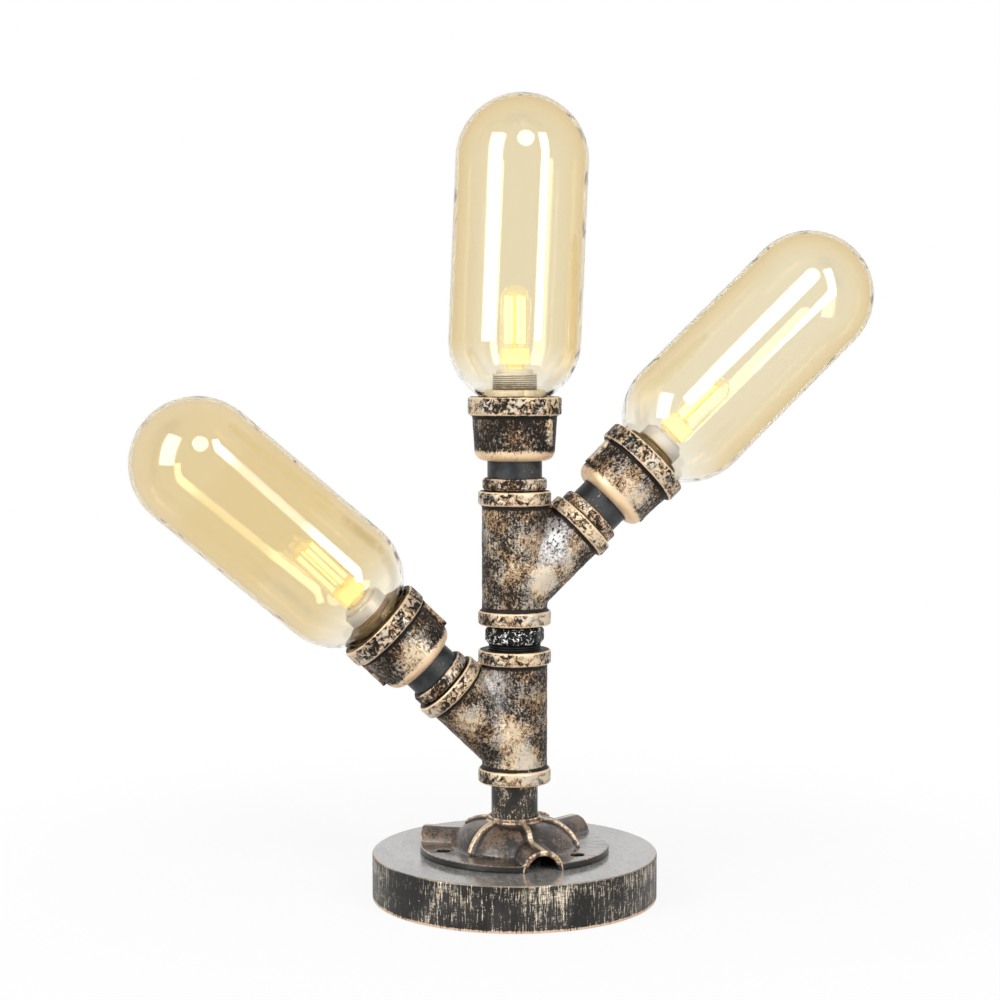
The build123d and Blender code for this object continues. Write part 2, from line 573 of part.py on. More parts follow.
# ------------------------------------------------------------------ tees and the hexagon nipple
def make_tee(side, tee_z, foot_socket_radius, top_socket_radius):
    """Lateral tee: an upright run and one slanted branch, each end a beaded socket."""
    run = Plane.XY.offset(tee_z)
    branch = branch_frame(side, tee_z)
    band_back = -TEE_BAND_HEIGHT
    bands = (run, run.offset(TEE_LENGTH + band_back), branch.offset(BRANCH_LENGTH + band_back))
    sockets = (
        (run, foot_socket_radius),
        (run.offset(TEE_LENGTH - TEE_SOCKET_DEPTH), top_socket_radius),
        (branch.offset(BRANCH_LENGTH - TEE_SOCKET_DEPTH), HEAD_PIPE_RADIUS + SWIVEL_FIT),
    )
    with BuildPart() as tee:
        with BuildSketch(run):
            Circle(TEE_BODY_RADIUS)
        extrude(amount=TEE_LENGTH)
        with BuildSketch(branch):
            Circle(TEE_BRANCH_RADIUS)
        extrude(amount=BRANCH_LENGTH)
        crotch = tee.edges().filter_by(GeomType.CIRCLE, reverse=True)
        fillet(crotch.filter_by(GeomType.LINE, reverse=True), TEE_CROTCH_FILLET)
        for foot in bands:
            with BuildSketch(section(foot)) as band:
                with Locations((TEE_BAND_RADIUS / 2, TEE_BAND_HEIGHT / 2)):
                    Rectangle(TEE_BAND_RADIUS, TEE_BAND_HEIGHT)
                fillet(band.vertices().group_by(Axis.X)[-1], TEE_BAND_EDGE)
            revolve(axis=spin(foot))
        for foot, socket_radius in sockets:
            with BuildSketch(foot):
                Circle(socket_radius)
            extrude(amount=TEE_SOCKET_DEPTH, mode=Mode.SUBTRACT)
        with BuildSketch(run):
            Circle(TEE_BORE_RADIUS)
        extrude(amount=TEE_LENGTH, mode=Mode.SUBTRACT)
        with BuildSketch(branch):
            Circle(TEE_BORE_RADIUS)
        extrude(amount=BRANCH_LENGTH, mode=Mode.SUBTRACT)
    return tee


hex_fixed_radius = HEX_NECK_RADIUS + THREAD_FIT
hex_swivel_radius = HEX_NECK_RADIUS + SWIVEL_FIT
save(make_tee(-1, LOWER_TEE_Z, COLUMN_PIPE_RADIUS + SWIVEL_FIT, hex_fixed_radius), "lower_tee")
save(make_tee(1, UPPER_TEE_Z, hex_swivel_radius, HEAD_PIPE_RADIUS + SWIVEL_FIT), "upper_tee")

with BuildPart() as hex_nipple:
    hex_foot = LOWER_TEE_TOP - PIPE_ENGAGES
    hex_length = UPPER_TEE_Z + PIPE_ENGAGES - hex_foot
    with BuildSketch(Plane.XY.offset(HEX_Z)):
        RegularPolygon(HEX_FLATS / 2, 6, major_radius=False)
    extrude(amount=HEX_HEIGHT)
    with BuildSketch(section(Plane.XY.offset(HEX_Z))) as collar:
        with Locations((HEX_CORNER_RADIUS / 2, HEX_HEIGHT / 2)):
            Rectangle(HEX_CORNER_RADIUS, HEX_HEIGHT)
        chamfer(collar.vertices().group_by(Axis.X)[-1], HEX_EDGE)
    revolve(axis=Axis.Z, mode=Mode.INTERSECT)
    with BuildSketch(Plane.XY.offset(hex_foot)):
        Circle(HEX_NECK_RADIUS)
    extrude(amount=hex_length)
    with BuildSketch(Plane.XY.offset(hex_foot)):
        Circle(HEX_BORE_RADIUS)
    extrude(amount=hex_length, mode=Mode.SUBTRACT)
save(hex_nipple, "hex_nipple")


def straight_leads(frame, start, end, off_axis):
    """Two insulated wires along a frame's axis, one on each side of it."""
    with BuildPart() as leads:
        with BuildSketch(frame.offset(start)):
            with Locations((0, off_axis), (0, -off_axis)):
                Circle(WIRE_RADIUS)
        extrude(amount=end - start)
    return leads


# Each pair of leads lies against the hexagon nipple's bore and stops short of the next swivel,
# where the real ones are slack.
bore_side = HEX_BORE_RADIUS - WIRE_RADIUS - SWIVEL_GAP
save(straight_leads(Plane.XY, COLUMN_HEAD_Z + LEAD_GAP, UPPER_TEE_Z - LEAD_GAP, bore_side), "lower_leads")
save(straight_leads(Plane.XY, UPPER_TEE_Z, UPPER_TEE_TOP - PIPE_ENGAGES - LEAD_GAP, bore_side), "upper_leads")


# ------------------------------------------------------------------ lamp heads
def make_lock_ring(frame):
    """Back nut between the fitting and the bare pipe."""
    bore = HEAD_PIPE_RADIUS + THREAD_FIT
    with BuildPart() as lock_ring:
        with BuildSketch(section(frame.offset(RING_START))) as outline:
            with Locations(((bore + RING_RADIUS) / 2, RING_HEIGHT / 2)):
                Rectangle(RING_RADIUS - bore, RING_HEIGHT)
            chamfer(outline.vertices().group_by(Axis.X)[-1], RING_EDGE)
        revolve(axis=spin(frame))
    return lock_ring


def make_nipple(frame):
    """Close pipe nipple from the fitting's socket to the cup's socket."""
    with BuildPart() as nipple:
        with BuildSketch(frame.offset(-PIPE_ENGAGES)):
            Circle(HEAD_PIPE_RADIUS)
            Circle(HEAD_BORE_RADIUS, mode=Mode.SUBTRACT)
        extrude(amount=CUP_START + 2 * PIPE_ENGAGES)
    return nipple


def make_cup(frame, rib_turn):
    """Bell cup: beaded mouth, tapering body, rounded underside and two casting ribs."""
    foot = frame.offset(CUP_START)
    band_z = CUP_HEIGHT - CUP_BAND_HEIGHT
    chamber_z = CUP_SOCKET_DEPTH + CUP_WEB
    seat_z = SEAT_FLOOR - CUP_START
    bores = (
        (HEAD_PIPE_RADIUS + THREAD_FIT, 0, CUP_SOCKET_DEPTH),
        (HEAD_BORE_RADIUS, CUP_SOCKET_DEPTH, chamber_z),
        (CUP_CHAMBER_RADIUS, chamber_z, seat_z),
        (CUP_MOUTH_RADIUS, seat_z, CUP_HEIGHT),
    )
    with BuildPart() as cup:
        with BuildSketch(section(foot)) as body:
            with BuildLine():
                Polyline(
                    (0, 0),
                    (CUP_WAIST_RADIUS, 0),
                    (CUP_NECK_RADIUS, band_z),
                    (CUP_NECK_RADIUS, CUP_HEIGHT),
                    (0, CUP_HEIGHT),
                    close=True,
                )
            make_face()
            fillet(body.vertices().group_by(Axis.Y)[0].sort_by(Axis.X)[-1], CUP_ROUND)
        revolve(axis=spin(frame))
        with BuildSketch(section(foot.offset(band_z))) as band:
            with Locations((CUP_BAND_RADIUS / 2, CUP_BAND_HEIGHT / 2)):
                Rectangle(CUP_BAND_RADIUS, CUP_BAND_HEIGHT)
            fillet(band.vertices().group_by(Axis.X)[-1], CUP_BAND_EDGE)
        revolve(axis=spin(frame))
        with BuildSketch(foot.offset(CUP_RIB_FOOT)):
            with PolarLocations((CUP_RIB_RADIUS + CUP_CHAMBER_RADIUS) / 2, 2, rib_turn):
                Rectangle(CUP_RIB_RADIUS - CUP_CHAMBER_RADIUS, CUP_RIB_WIDTH)
        extrude(amount=band_z - CUP_RIB_FOOT)
        for radius, start, end in bores:
            with BuildSketch(foot.offset(start)):
                Circle(radius)
            extrude(amount=end - start, mode=Mode.SUBTRACT)
    return cup


def make_seat_disc(frame):
    """Disc on the cup's inner step that carries the gasket, the glass and the lampholder."""
    with BuildPart() as seat_disc:
        with BuildSketch(frame.offset(SEAT_FLOOR)):
            Circle(CUP_MOUTH_RADIUS - SWIVEL_FIT)
            Circle(SLEEVE_RADIUS + THREAD_FIT, mode=Mode.SUBTRACT)
        extrude(amount=SEAT_THICKNESS)
    return seat_disc


def make_gasket(frame):
    """Ring under the glass whose top is hollowed to the glass's round end."""
    seat_radius = GLASS_RADIUS + GASKET_PLAY
    outer = GLASS_HOLE_RADIUS + GASKET_WIDTH
    inner = SLEEVE_RADIUS + LOOSE_FIT
    outer_y = GLASS_CENTRE - math.sqrt(seat_radius**2 - outer**2)
    inner_y = GLASS_CENTRE - math.sqrt(seat_radius**2 - inner**2)
    middle = (outer + inner) / 2
    middle_y = GLASS_CENTRE - math.sqrt(seat_radius**2 - middle**2)
    with BuildPart() as seat_gasket:
        with BuildSketch(section(frame)):
            with BuildLine():
                Polyline((inner, inner_y), (inner, SEAT_TOP), (outer, SEAT_TOP), (outer, outer_y))
                ThreePointArc((inner, inner_y), (middle, middle_y), (outer, outer_y))
            make_face()
        revolve(axis=spin(frame))
    return seat_gasket


def make_glass(frame, lean):
    """Blown glass capsule, open only at the hole that the lampholder's sleeve passes."""
    centre = frame.offset(GLASS_CENTRE)
    axis = centre.z_dir.rotate(Axis(centre.origin, centre.y_dir), lean)
    tilted = Plane(origin=centre.origin, x_dir=centre.y_dir.cross(axis), z_dir=axis)
    inner = GLASS_RADIUS - GLASS_WALL
    hole_outer = math.degrees(math.acos(GLASS_HOLE_RADIUS / GLASS_RADIUS))
    hole_inner = math.degrees(math.acos(GLASS_HOLE_RADIUS / inner))
    with BuildPart() as glass_shade:
        with BuildSketch(section(tilted)):
            with BuildLine():
                lip_out = CenterArc((0, 0), GLASS_RADIUS, -hole_outer, hole_outer)
                Line((GLASS_RADIUS, 0), (GLASS_RADIUS, GLASS_STRAIGHT))
                CenterArc((0, GLASS_STRAIGHT), GLASS_RADIUS, 0, 90)
                Line((0, GLASS_STRAIGHT + GLASS_RADIUS), (0, GLASS_STRAIGHT + inner))
                CenterArc((0, GLASS_STRAIGHT), inner, 0, 90)
                Line((inner, GLASS_STRAIGHT), (inner, 0))
                lip_in = CenterArc((0, 0), inner, -hole_inner, hole_inner)
                Line(lip_out @ 0, lip_in @ 0)
            make_face()
        revolve(axis=spin(tilted))
    return glass_shade


def make_clamp_ring(frame):
    """Notched ring nut inside the glass that holds it down on the gasket."""
    inner_glass = GLASS_RADIUS - GLASS_WALL
    foot = GLASS_CENTRE - math.sqrt(inner_glass**2 - CLAMP_RADIUS**2) + GASKET_PLAY
    with BuildPart() as clamp_ring:
        with BuildSketch(frame.offset(foot)):
            Circle(CLAMP_RADIUS)
            Circle(SLEEVE_RADIUS + THREAD_FIT, mode=Mode.SUBTRACT)
            with PolarLocations(CLAMP_RADIUS, 4):
                Rectangle(CLAMP_NOTCH, CLAMP_NOTCH, mode=Mode.SUBTRACT)
        extrude(amount=CLAMP_HEIGHT)
    return clamp_ring


def make_sleeve(frame):
    """Threaded sleeve round the lampholder, with a flange under the seat disc and an inner lip."""
    bore = SLEEVE_RADIUS - SLEEVE_WALL
    with BuildPart() as holder_sleeve:
        with BuildSketch(frame.offset(SLEEVE_FOOT)):
            Circle(SLEEVE_RADIUS)
        extrude(amount=CUP_RIM + SLEEVE_TOP - SLEEVE_FOOT)
        with BuildSketch(frame.offset(SLEEVE_FLANGE_Z)):
            Circle(SLEEVE_FLANGE_RADIUS)
        extrude(amount=SLEEVE_FLANGE)
        with BuildSketch(frame.offset(SLEEVE_FOOT)):
            Circle(bore - SLEEVE_LIP)
        extrude(amount=SLEEVE_LIP_HEIGHT, mode=Mode.SUBTRACT)
        with BuildSketch(frame.offset(HOLDER_FOOT)):
            Circle(bore)
        extrude(amount=CUP_RIM + SLEEVE_TOP - HOLDER_FOOT, mode=Mode.SUBTRACT)
    return holder_sleeve


def make_holder(frame):
    """Ceramic lampholder that rests on the sleeve's lip, with two slots for the bulb's pins."""
    top = BULB_FOOT
    with BuildPart() as lamp_holder:
        with BuildSketch(section(frame)) as outline:
            with Locations((HOLDER_RADIUS / 2, (HOLDER_FOOT + top) / 2)):
                Rectangle(HOLDER_RADIUS, top - HOLDER_FOOT)
            chamfer(outline.vertices().group_by(Axis.X)[-1], HOLDER_EDGE)
        revolve(axis=spin(frame))
        with BuildSketch(frame.offset(top - HOLDER_SLOT_DEPTH)):
            with Locations((HOLDER_SLOT_PITCH / 2, 0), (-HOLDER_SLOT_PITCH / 2, 0)):
                Rectangle(HOLDER_SLOT_LENGTH, HOLDER_SLOT_WIDTH)
        extrude(amount=HOLDER_SLOT_DEPTH, mode=Mode.SUBTRACT)
    return lamp_holder


def make_bulb_base(frame):
    """Moulded foot of the bulb with its two pins."""
    with BuildPart() as bulb_base:
        with BuildSketch(frame.offset(BULB_FOOT)):
            RectangleRounded(BULB_NECK_WIDTH, BULB_NECK_DEPTH, BULB_CORNER)
        extrude(amount=BULB_NECK_HEIGHT)
        with BuildSketch(frame.offset(BULB_FOOT + BULB_NECK_HEIGHT)):
            RectangleRounded(BULB_BASE_WIDTH, BULB_BASE_DEPTH, BULB_CORNER)
        extrude(amount=BULB_BASE_HEIGHT)
        with BuildSketch(frame.offset(BULB_FOOT - BULB_PIN_LENGTH)):
            with Locations((HOLDER_SLOT_PITCH / 2, 0), (-HOLDER_SLOT_PITCH / 2, 0)):
                Circle(BULB_PIN_RADIUS)
        extrude(amount=BULB_PIN_LENGTH + BULB_NECK_HEIGHT)
    return bulb_base


def make_bulb_glass(frame):
    """Clear tube of the bulb with a domed top."""
    straight = BULB_HEIGHT - BULB_RADIUS
    inner = BULB_RADIUS - BULB_WALL
    with BuildPart() as bulb_glass:
        with BuildSketch(section(frame.offset(BULB_BASE_TOP))):
            with BuildLine():
                Line((inner, 0), (BULB_RADIUS, 0))
                Line((BULB_RADIUS, 0), (BULB_RADIUS, straight))
                CenterArc((0, straight), BULB_RADIUS, 0, 90)
                Line((0, straight + BULB_RADIUS), (0, straight + inner))
                CenterArc((0, straight), inner, 0, 90)
                Line((inner, straight), (inner, 0))
            make_face()
        revolve(axis=spin(frame))
    return bulb_glass


def make_filaments(frame):
    """Ring of upright filament sticks on wires that spread from a central glass stem."""
    foot = BULB_BASE_TOP + FILAMENT_FOOT
    top = foot + FILAMENT_LENGTH
    with BuildPart() as filaments:
        with BuildSketch(frame.offset(BULB_BASE_TOP)):
            Circle(STEM_RADIUS)
        extrude(amount=FILAMENT_FOOT + FILAMENT_LENGTH + STEM_TIP)
        with BuildSketch(frame.offset(foot)):
            with PolarLocations(FILAMENT_CIRCLE_RADIUS, FILAMENT_COUNT, 180 / FILAMENT_COUNT):
                Circle(FILAMENT_RADIUS)
        extrude(amount=FILAMENT_LENGTH)
        for height in (foot + FILAMENT_RADIUS, top - FILAMENT_RADIUS):
            with BuildSketch(frame.offset(height - HANGER_RADIUS)):
                with PolarLocations(FILAMENT_CIRCLE_RADIUS / 2, FILAMENT_COUNT, 180 / FILAMENT_COUNT):
                    Rectangle(FILAMENT_CIRCLE_RADIUS, 2 * HANGER_RADIUS)
            extrude(amount=2 * HANGER_RADIUS)
    return filaments


for side, (frame, lean, rib_turn) in HEADS.items():
    save(make_lock_ring(frame), f"{side}_lock_ring")
    save(make_nipple(frame), f"{side}_nipple")
    save(make_cup(frame, rib_turn), f"{side}_cup")
    save(make_seat_disc(frame), f"{side}_seat_disc")
    save(make_gasket(frame), f"{side}_seat_gasket")
    save(make_glass(frame, lean), f"{side}_glass_shade")
    save(make_clamp_ring(frame), f"{side}_clamp_ring")
    save(make_sleeve(frame), f"{side}_holder_sleeve")
    save(make_holder(frame), f"{side}_lamp_holder")
    save(make_bulb_base(frame), f"{side}_bulb_base")
    save(make_bulb_glass(frame), f"{side}_bulb_glass")
    save(make_filaments(frame), f"{side}_filaments")
    save(straight_leads(frame, -PIPE_ENGAGES, HOLDER_FOOT, WIRE_SPACING / 2), f"{side}_leads")
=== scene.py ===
"""Looks of a table lamp of screwed pipe fittings with three amber glass shades.

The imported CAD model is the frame. Each sub-assembly below dresses its CAD nodes in procedural
finishes and, where a casting, a thread or a piece of glass needs a finer form than the solid
has, stands a detailed mesh in the node's place.
"""

import enum
import logging
import math
from collections.abc import Callable, Mapping, Sequence
from dataclasses import dataclass, replace

import bmesh
import bpy
from mathutils import Matrix, Vector, noise


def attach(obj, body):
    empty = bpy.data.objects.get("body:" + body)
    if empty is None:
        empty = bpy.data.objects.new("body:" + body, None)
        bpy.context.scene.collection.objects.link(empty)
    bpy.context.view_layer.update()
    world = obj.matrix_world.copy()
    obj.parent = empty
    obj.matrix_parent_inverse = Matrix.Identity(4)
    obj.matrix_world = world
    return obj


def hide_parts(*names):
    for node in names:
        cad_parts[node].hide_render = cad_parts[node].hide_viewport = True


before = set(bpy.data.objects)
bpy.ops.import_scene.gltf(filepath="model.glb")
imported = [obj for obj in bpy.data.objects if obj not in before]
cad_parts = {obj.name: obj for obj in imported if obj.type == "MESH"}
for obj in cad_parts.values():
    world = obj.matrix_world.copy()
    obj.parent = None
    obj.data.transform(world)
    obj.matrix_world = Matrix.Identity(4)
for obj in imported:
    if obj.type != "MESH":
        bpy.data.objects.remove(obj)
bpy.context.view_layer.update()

MM = 0.001
WELD = 1e-6  # metres between points that are one
SWING = 6.0  # makes fractal noise about 0 swing mostly between -1 and 1
SKIN_FADE = 0.8  # millimetres over which a casting's uneven skin sets in
LOG = logging.getLogger("pipe_lamp")

Colour = tuple[float, float, float, float]
Triple = tuple[float, float, float]
Profile = list[tuple[float, float]]
Material = bpy.types.Material
Mesh = bpy.types.Mesh


def paint(red: float, green: float, blue: float) -> Colour:
    """Return an opaque colour from linear red, green and blue."""
    return (red, green, blue, 1.0)


BLACK_PAINT = paint(0.008, 0.007, 0.006)
BROWN_BLACK = paint(0.015, 0.012, 0.009)
BLUE_BLACK = paint(0.016, 0.018, 0.020)
CREAM_GOLD = paint(0.70, 0.555, 0.385)
EDGE_GOLD = paint(0.86, 0.62, 0.39)
ANTIQUE_GOLD = paint(0.30, 0.215, 0.135)
COPPER_GOLD = paint(0.30, 0.16, 0.075)
RUST_BROWN = paint(0.036, 0.023, 0.015)
PEWTER = paint(0.56, 0.51, 0.44)
# Pale steel of the painted highlight on the polished patches.
HIGHLIGHT_STEEL = paint(0.78, 0.76, 0.73)
STEEL_GREY = paint(0.21, 0.21, 0.215)
COOL_WHITE = paint(0.44, 0.455, 0.51)
PAINT_GLOSS = 0.14


class Side(enum.Enum):
    """Which of the three lamp heads a piece belongs to; the value is its nodes' prefix."""

    LEFT = "left"
    RIGHT = "right"
    TOP = "top"


# ---------------------------------------------------------------------- node graphs
def operator(operation: str, swapped: bool = False) -> Callable[["Signal", "Signal | float"], "Signal"]:
    """Return an operator of signals that adds one Math node.

    Args:
        operation: The Math node's operation.
        swapped: Whether the operand stands before the signal, as in 1 - mask.

    Returns:
        The method that does it.
    """

    def combined(signal: "Signal", operand: "Signal | float") -> "Signal":
        """Return the Math node's result."""
        pair = (operand, signal) if swapped else (signal, operand)
        return signal.graph.add("Math", {"operation": operation}, dict(enumerate(pair)))

    return combined


class Signal:
    """A value, colour or vector that varies over a surface: one output socket of a node.

    The bar gives the larger of two masks, and least the smaller of two values.
    """

    __add__ = operator("ADD")
    __radd__ = operator("ADD", swapped=True)
    __sub__ = operator("SUBTRACT")
    __rsub__ = operator("SUBTRACT", swapped=True)
    __mul__ = operator("MULTIPLY")
    __rmul__ = operator("MULTIPLY", swapped=True)
    __or__ = operator("MAXIMUM")
    least = operator("MINIMUM")

    def __init__(self, graph: "Graph", socket: bpy.types.NodeSocket) -> None:
        """Wrap an output socket of a node in a graph."""
        self.graph = graph
        self.socket = socket

    def __abs__(self) -> "Signal":
        """Return the absolute value."""
        return self.graph.add("Math", {"operation": "ABSOLUTE"}, {0: self})

    def step(self, low: float, high: float) -> "Signal":
        """Return 0 below low and 1 above high, with a smooth change between them."""
        inputs = {"Value": self, "From Min": low, "From Max": high}
        return self.graph.add("MapRange", {"interpolation_type": "SMOOTHSTEP"}, inputs)

    def window(self, low: float, high: float, soft: float) -> "Signal":
        """Return 1 between low and high and 0 outside, with soft flanks."""
        return self.step(low - soft, low + soft) * (1 - self.step(high - soft, high + soft))


class Graph:
    """The node tree of one material or world."""

    def __init__(self, owner: Material | bpy.types.World) -> None:
        """Empty the node tree of a material or world and take charge of it."""
        owner.use_nodes = True
        self.owner = owner
        self.tree = owner.node_tree
        self.tree.nodes.clear()

    def node(
        self,
        kind: str,
        settings: Mapping[str, object] | None = None,
        inputs: Mapping[str | int, object] | None = None,
    ) -> bpy.types.Node:
        """Add a node.

        Args:
            kind: Blender's type name of the node after its ShaderNode.
            settings: Properties to set first.
            inputs: Values or links by the socket's name, identifier or place.

        Returns:
            The node.
        """
        made = self.tree.nodes.new("ShaderNode" + kind)
        for name, setting in (settings or {}).items():
            setattr(made, name, setting)
        for key, given in (inputs or {}).items():
            socket = self._input(made, key)
            if isinstance(given, Signal):
                self.tree.links.new(given.socket, socket)
            else:
                socket.default_value = given
        return made

    @staticmethod
    def _input(made: bpy.types.Node, key: str | int) -> bpy.types.NodeSocket:
        """Return a node's input by its identifier, name or place."""
        if isinstance(key, str):
            for socket in made.inputs:
                if socket.identifier == key:
                    return socket
        return made.inputs[key]

    def add(
        self,
        kind: str,
        settings: Mapping[str, object] | None = None,
        inputs: Mapping[str | int, object] | None = None,
        output: str | int = 0,
    ) -> Signal:
        """Add a node as node() does and return one of its outputs."""
        return Signal(self, self.node(kind, settings, inputs).outputs[output])

    def local(self, place: "Placement") -> Signal:
        """Return the surface point in a placement's own frame, in millimetres."""
        point = self.add("TexCoord", output="Object")
        inputs = {
            "Vector": point,
            "Location": place.origin * MM,
            "Rotation": place.turn().to_euler("XYZ"),
            "Scale": (MM, MM, MM),
        }
        return self.add("Mapping", {"vector_type": "TEXTURE"}, inputs)

    def vector(self, operation: str, first: object, second: object, output: int = 0) -> Signal:
        """Return a Vector Math node's result; output 1 is its number."""
        inputs = {0: first, 1: second}
        return self.add("VectorMath", {"operation": operation}, inputs, output)

    def part(self, vector: Signal, axis: str) -> Signal:
        """Return the x, y or z part of a vector."""
        return self.add("SeparateXYZ", None, {0: vector}, "XYZ".index(axis))

    def along(self, point: Signal, axis: Sequence[float]) -> Signal:
        """Return how far a point lies along an axis through the frame's origin."""
        return self.vector("DOT_PRODUCT", point, tuple(axis), 1)

    def nowhere(self, point: Signal) -> Signal:
        """Return a mask that is 0 all over a surface, to add others to."""
        return self.along(point, (0, 0, 0))

    def reach(self, point: Signal, axis: Sequence[float] = (0, 0, 1)) -> Signal:
        """Return how far a point lies from an axis through the frame's origin."""
        return self.vector("LENGTH", self.vector("CROSS_PRODUCT", point, tuple(axis)), (0, 0, 0), 1)

    def noise(
        self,
        point: Signal,
        per_mm: float,
        detail: float = 4.0,
        roughness: float = 0.6,
        stretch: Sequence[float] = (1, 1, 1),
        distortion: float = 0.0,
    ) -> Signal:
        """Return fractal noise from 0 to 1.

        Args:
            point: Where on the surface, in millimetres.
            per_mm: How many humps per millimetre.
            detail: How many finer layers lie on the first.
            roughness: How strong the finer layers are.
            stretch: Factors on the point's parts; a small one draws the noise out that way.
            distortion: How much the noise is warped.

        Returns:
            The noise.
        """
        inputs = {
            "Vector": self.vector("MULTIPLY", point, tuple(stretch)),
            "Scale": per_mm,
            "Detail": detail,
            "Roughness": roughness,
            "Distortion": distortion,
        }
        return self.add("TexNoise", None, inputs)

    def swing(self, point: Signal, per_mm: float, *shape: object, distortion: float = 0.0) -> Signal:
        """Return noise as noise() does, swinging about 0 and mostly between -1 and 1."""
        return (self.noise(point, per_mm, *shape, distortion=distortion) - 0.5) * SWING

    def blend(self, share: Signal | float, first: object, second: object) -> Signal:
        """Return a colour from first to second as share goes from 0 to 1."""
        inputs = {"Factor_Float": share, "A_Color": first, "B_Color": second}
        return self.add("Mix", {"data_type": "RGBA"}, inputs, 2)

    def bump(self, height: Signal, depth_mm: float, strength: float = 1.0) -> Signal:
        """Return the normal of a surface roughened by a height from 0 to 1."""
        inputs = {"Height": height, "Distance": depth_mm * MM, "Strength": strength}
        return self.add("Bump", None, inputs)

    def shader(self, **sockets: object) -> Signal:
        """Add a Principled shader; an argument's underscores stand for spaces."""
        named = {name.replace("_", " "): given for name, given in sockets.items()}
        return self.add("BsdfPrincipled", None, named)

    def mixed(self, share: Signal, first: Signal, second: Signal) -> Signal:
        """Return a shader from first to second as share goes from 0 to 1."""
        return self.add("MixShader", None, {0: share, 1: first, 2: second})

    def output(self, shader: Signal, kind: str = "OutputMaterial") -> Material:
        """Make a shader the tree's surface and return the finished owner of the tree."""
        self.node(kind, None, {"Surface": shader})
        return self.owner

    def surface(self, **sockets: object) -> Material:
        """Finish the material with one shader, given as shader() takes it."""
        return self.output(self.shader(**sockets))


# ---------------------------------------------------------------------- places and meshes
@dataclass(frozen=True)
class Placement:
    """A frame in millimetres: where it sits in the row frame and which way it faces."""

    origin: Vector
    across: Vector
    axis: Vector

    def turn(self) -> Matrix:
        """Return the frame's rotation."""
        columns = (self.across, self.axis.cross(self.across), self.axis)
        return Matrix(columns).transposed()

    def matrix(self) -> Matrix:
        """Return the transform from the frame's millimetres to the row frame's metres."""
        return Matrix.Scale(MM, 4) @ Matrix.Translation(self.origin) @ self.turn().to_4x4()

    def lifted(self, distance: float) -> "Placement":
        """Return the same frame further along its axis."""
        return Placement(self.origin + self.axis * distance, self.across, self.axis)

    def leaned(self, degrees: float) -> "Placement":
        """Return the frame leaned towards its own x axis, about its own y axis."""
        lean = Matrix.Rotation(math.radians(degrees), 3, self.axis.cross(self.across))
        return Placement(self.origin, lean @ self.across, lean @ self.axis)


UPRIGHT = Placement(Vector((0, 0, 0)), Vector((1, 0, 0)), Vector((0, 0, 1)))


def arc(centre: tuple[float, float], radius: float, start: float, end: float, steps: int) -> Profile:
    """Return points of an arc about a centre, from start to end in degrees."""
    points: Profile = []
    for step in range(steps + 1):
        angle = math.radians(start + (end - start) * step / steps)
        points.append((centre[0] + radius * math.cos(angle), centre[1] + radius * math.sin(angle)))
    return points


def dome(straight: float, radius: float, inner: float, steps: int) -> Profile:
    """Return a capsule's closed end: up over the outer wall and back down the inner one."""
    outside = arc((0, straight), radius, 0, 90, steps)[:-1] + [(0.0, straight + radius)]
    return outside + [(0.0, straight + inner)] + arc((0, straight), inner, 90, 0, steps)[1:]


def lathe(
    name: str,
    profile: Profile,
    place: Placement,
    segments: int = 96,
    relief: Callable[[float, float, float], float] | None = None,
    sharp: float = 40.0,
) -> Mesh:
    """Turn a closed outline about a placement's axis.

    Args:
        name: The mesh's name.
        profile: Radius and height of each point of the closed outline.
        place: The frame that the outline stands in.
        segments: Facets round the axis.
        relief: Change of radius from the angle, height and radius of a point.
        sharp: Edges steeper than this many degrees stay sharp.

    Returns:
        The mesh, in the row frame.
    """
    matrix = place.matrix()
    count = len(profile)
    points, faces = [], []
    for turn in range(segments):
        angle = 2 * math.pi * turn / segments
        for radius, height in profile:
            wide = radius + (relief(angle, height, radius) if relief and radius > 0 else 0)
            points.append(matrix @ Vector((wide * math.cos(angle), wide * math.sin(angle), height)))
    for turn in range(segments):
        here, there = turn * count, (turn + 1) % segments * count
        for index in range(count):
            after = (index + 1) % count
            if profile[index][0] > 0 or profile[after][0] > 0:
                faces.append((here + index, there + index, there + after, here + after))
    mesh = bpy.data.meshes.new(name)
    mesh.from_pydata(points, [], faces)
    return finished(mesh, sharp)


def finished(mesh: Mesh, sharp: float) -> Mesh:
    """Weld a mesh's double points, turn its faces outwards and shade it smooth up to an angle."""
    block = bmesh.new()
    block.from_mesh(mesh)
    bmesh.ops.remove_doubles(block, verts=block.verts, dist=WELD)
    bmesh.ops.dissolve_degenerate(block, edges=block.edges, dist=WELD)
    bmesh.ops.recalc_face_normals(block, faces=block.faces)
    block.to_mesh(mesh)
    block.free()
    mesh.shade_smooth()
    mesh.set_sharp_from_angle(angle=math.radians(sharp))
    return mesh


def linked(name: str, data: bpy.types.ID) -> bpy.types.Object:
    """Return a new object of the scene that shows some data."""
    thing = bpy.data.objects.new(name, data)
    bpy.context.scene.collection.objects.link(thing)
    return thing


def shaped(holder: bpy.types.Object) -> Mesh:
    """Return the mesh that an object's modifiers or curve make, and remove the object."""
    depsgraph = bpy.context.evaluated_depsgraph_get()
    mesh = bpy.data.meshes.new_from_object(holder.evaluated_get(depsgraph))
    bpy.data.objects.remove(holder)
    return mesh


def joined(name: str, meshes: Sequence[Mesh]) -> Mesh:
    """Return one mesh that holds several."""
    block = bmesh.new()
    for mesh in meshes:
        block.from_mesh(mesh)
        bpy.data.meshes.remove(mesh)
    whole = bpy.data.meshes.new(name)
    block.to_mesh(whole)
    block.free()
    whole.shade_smooth()
    return whole


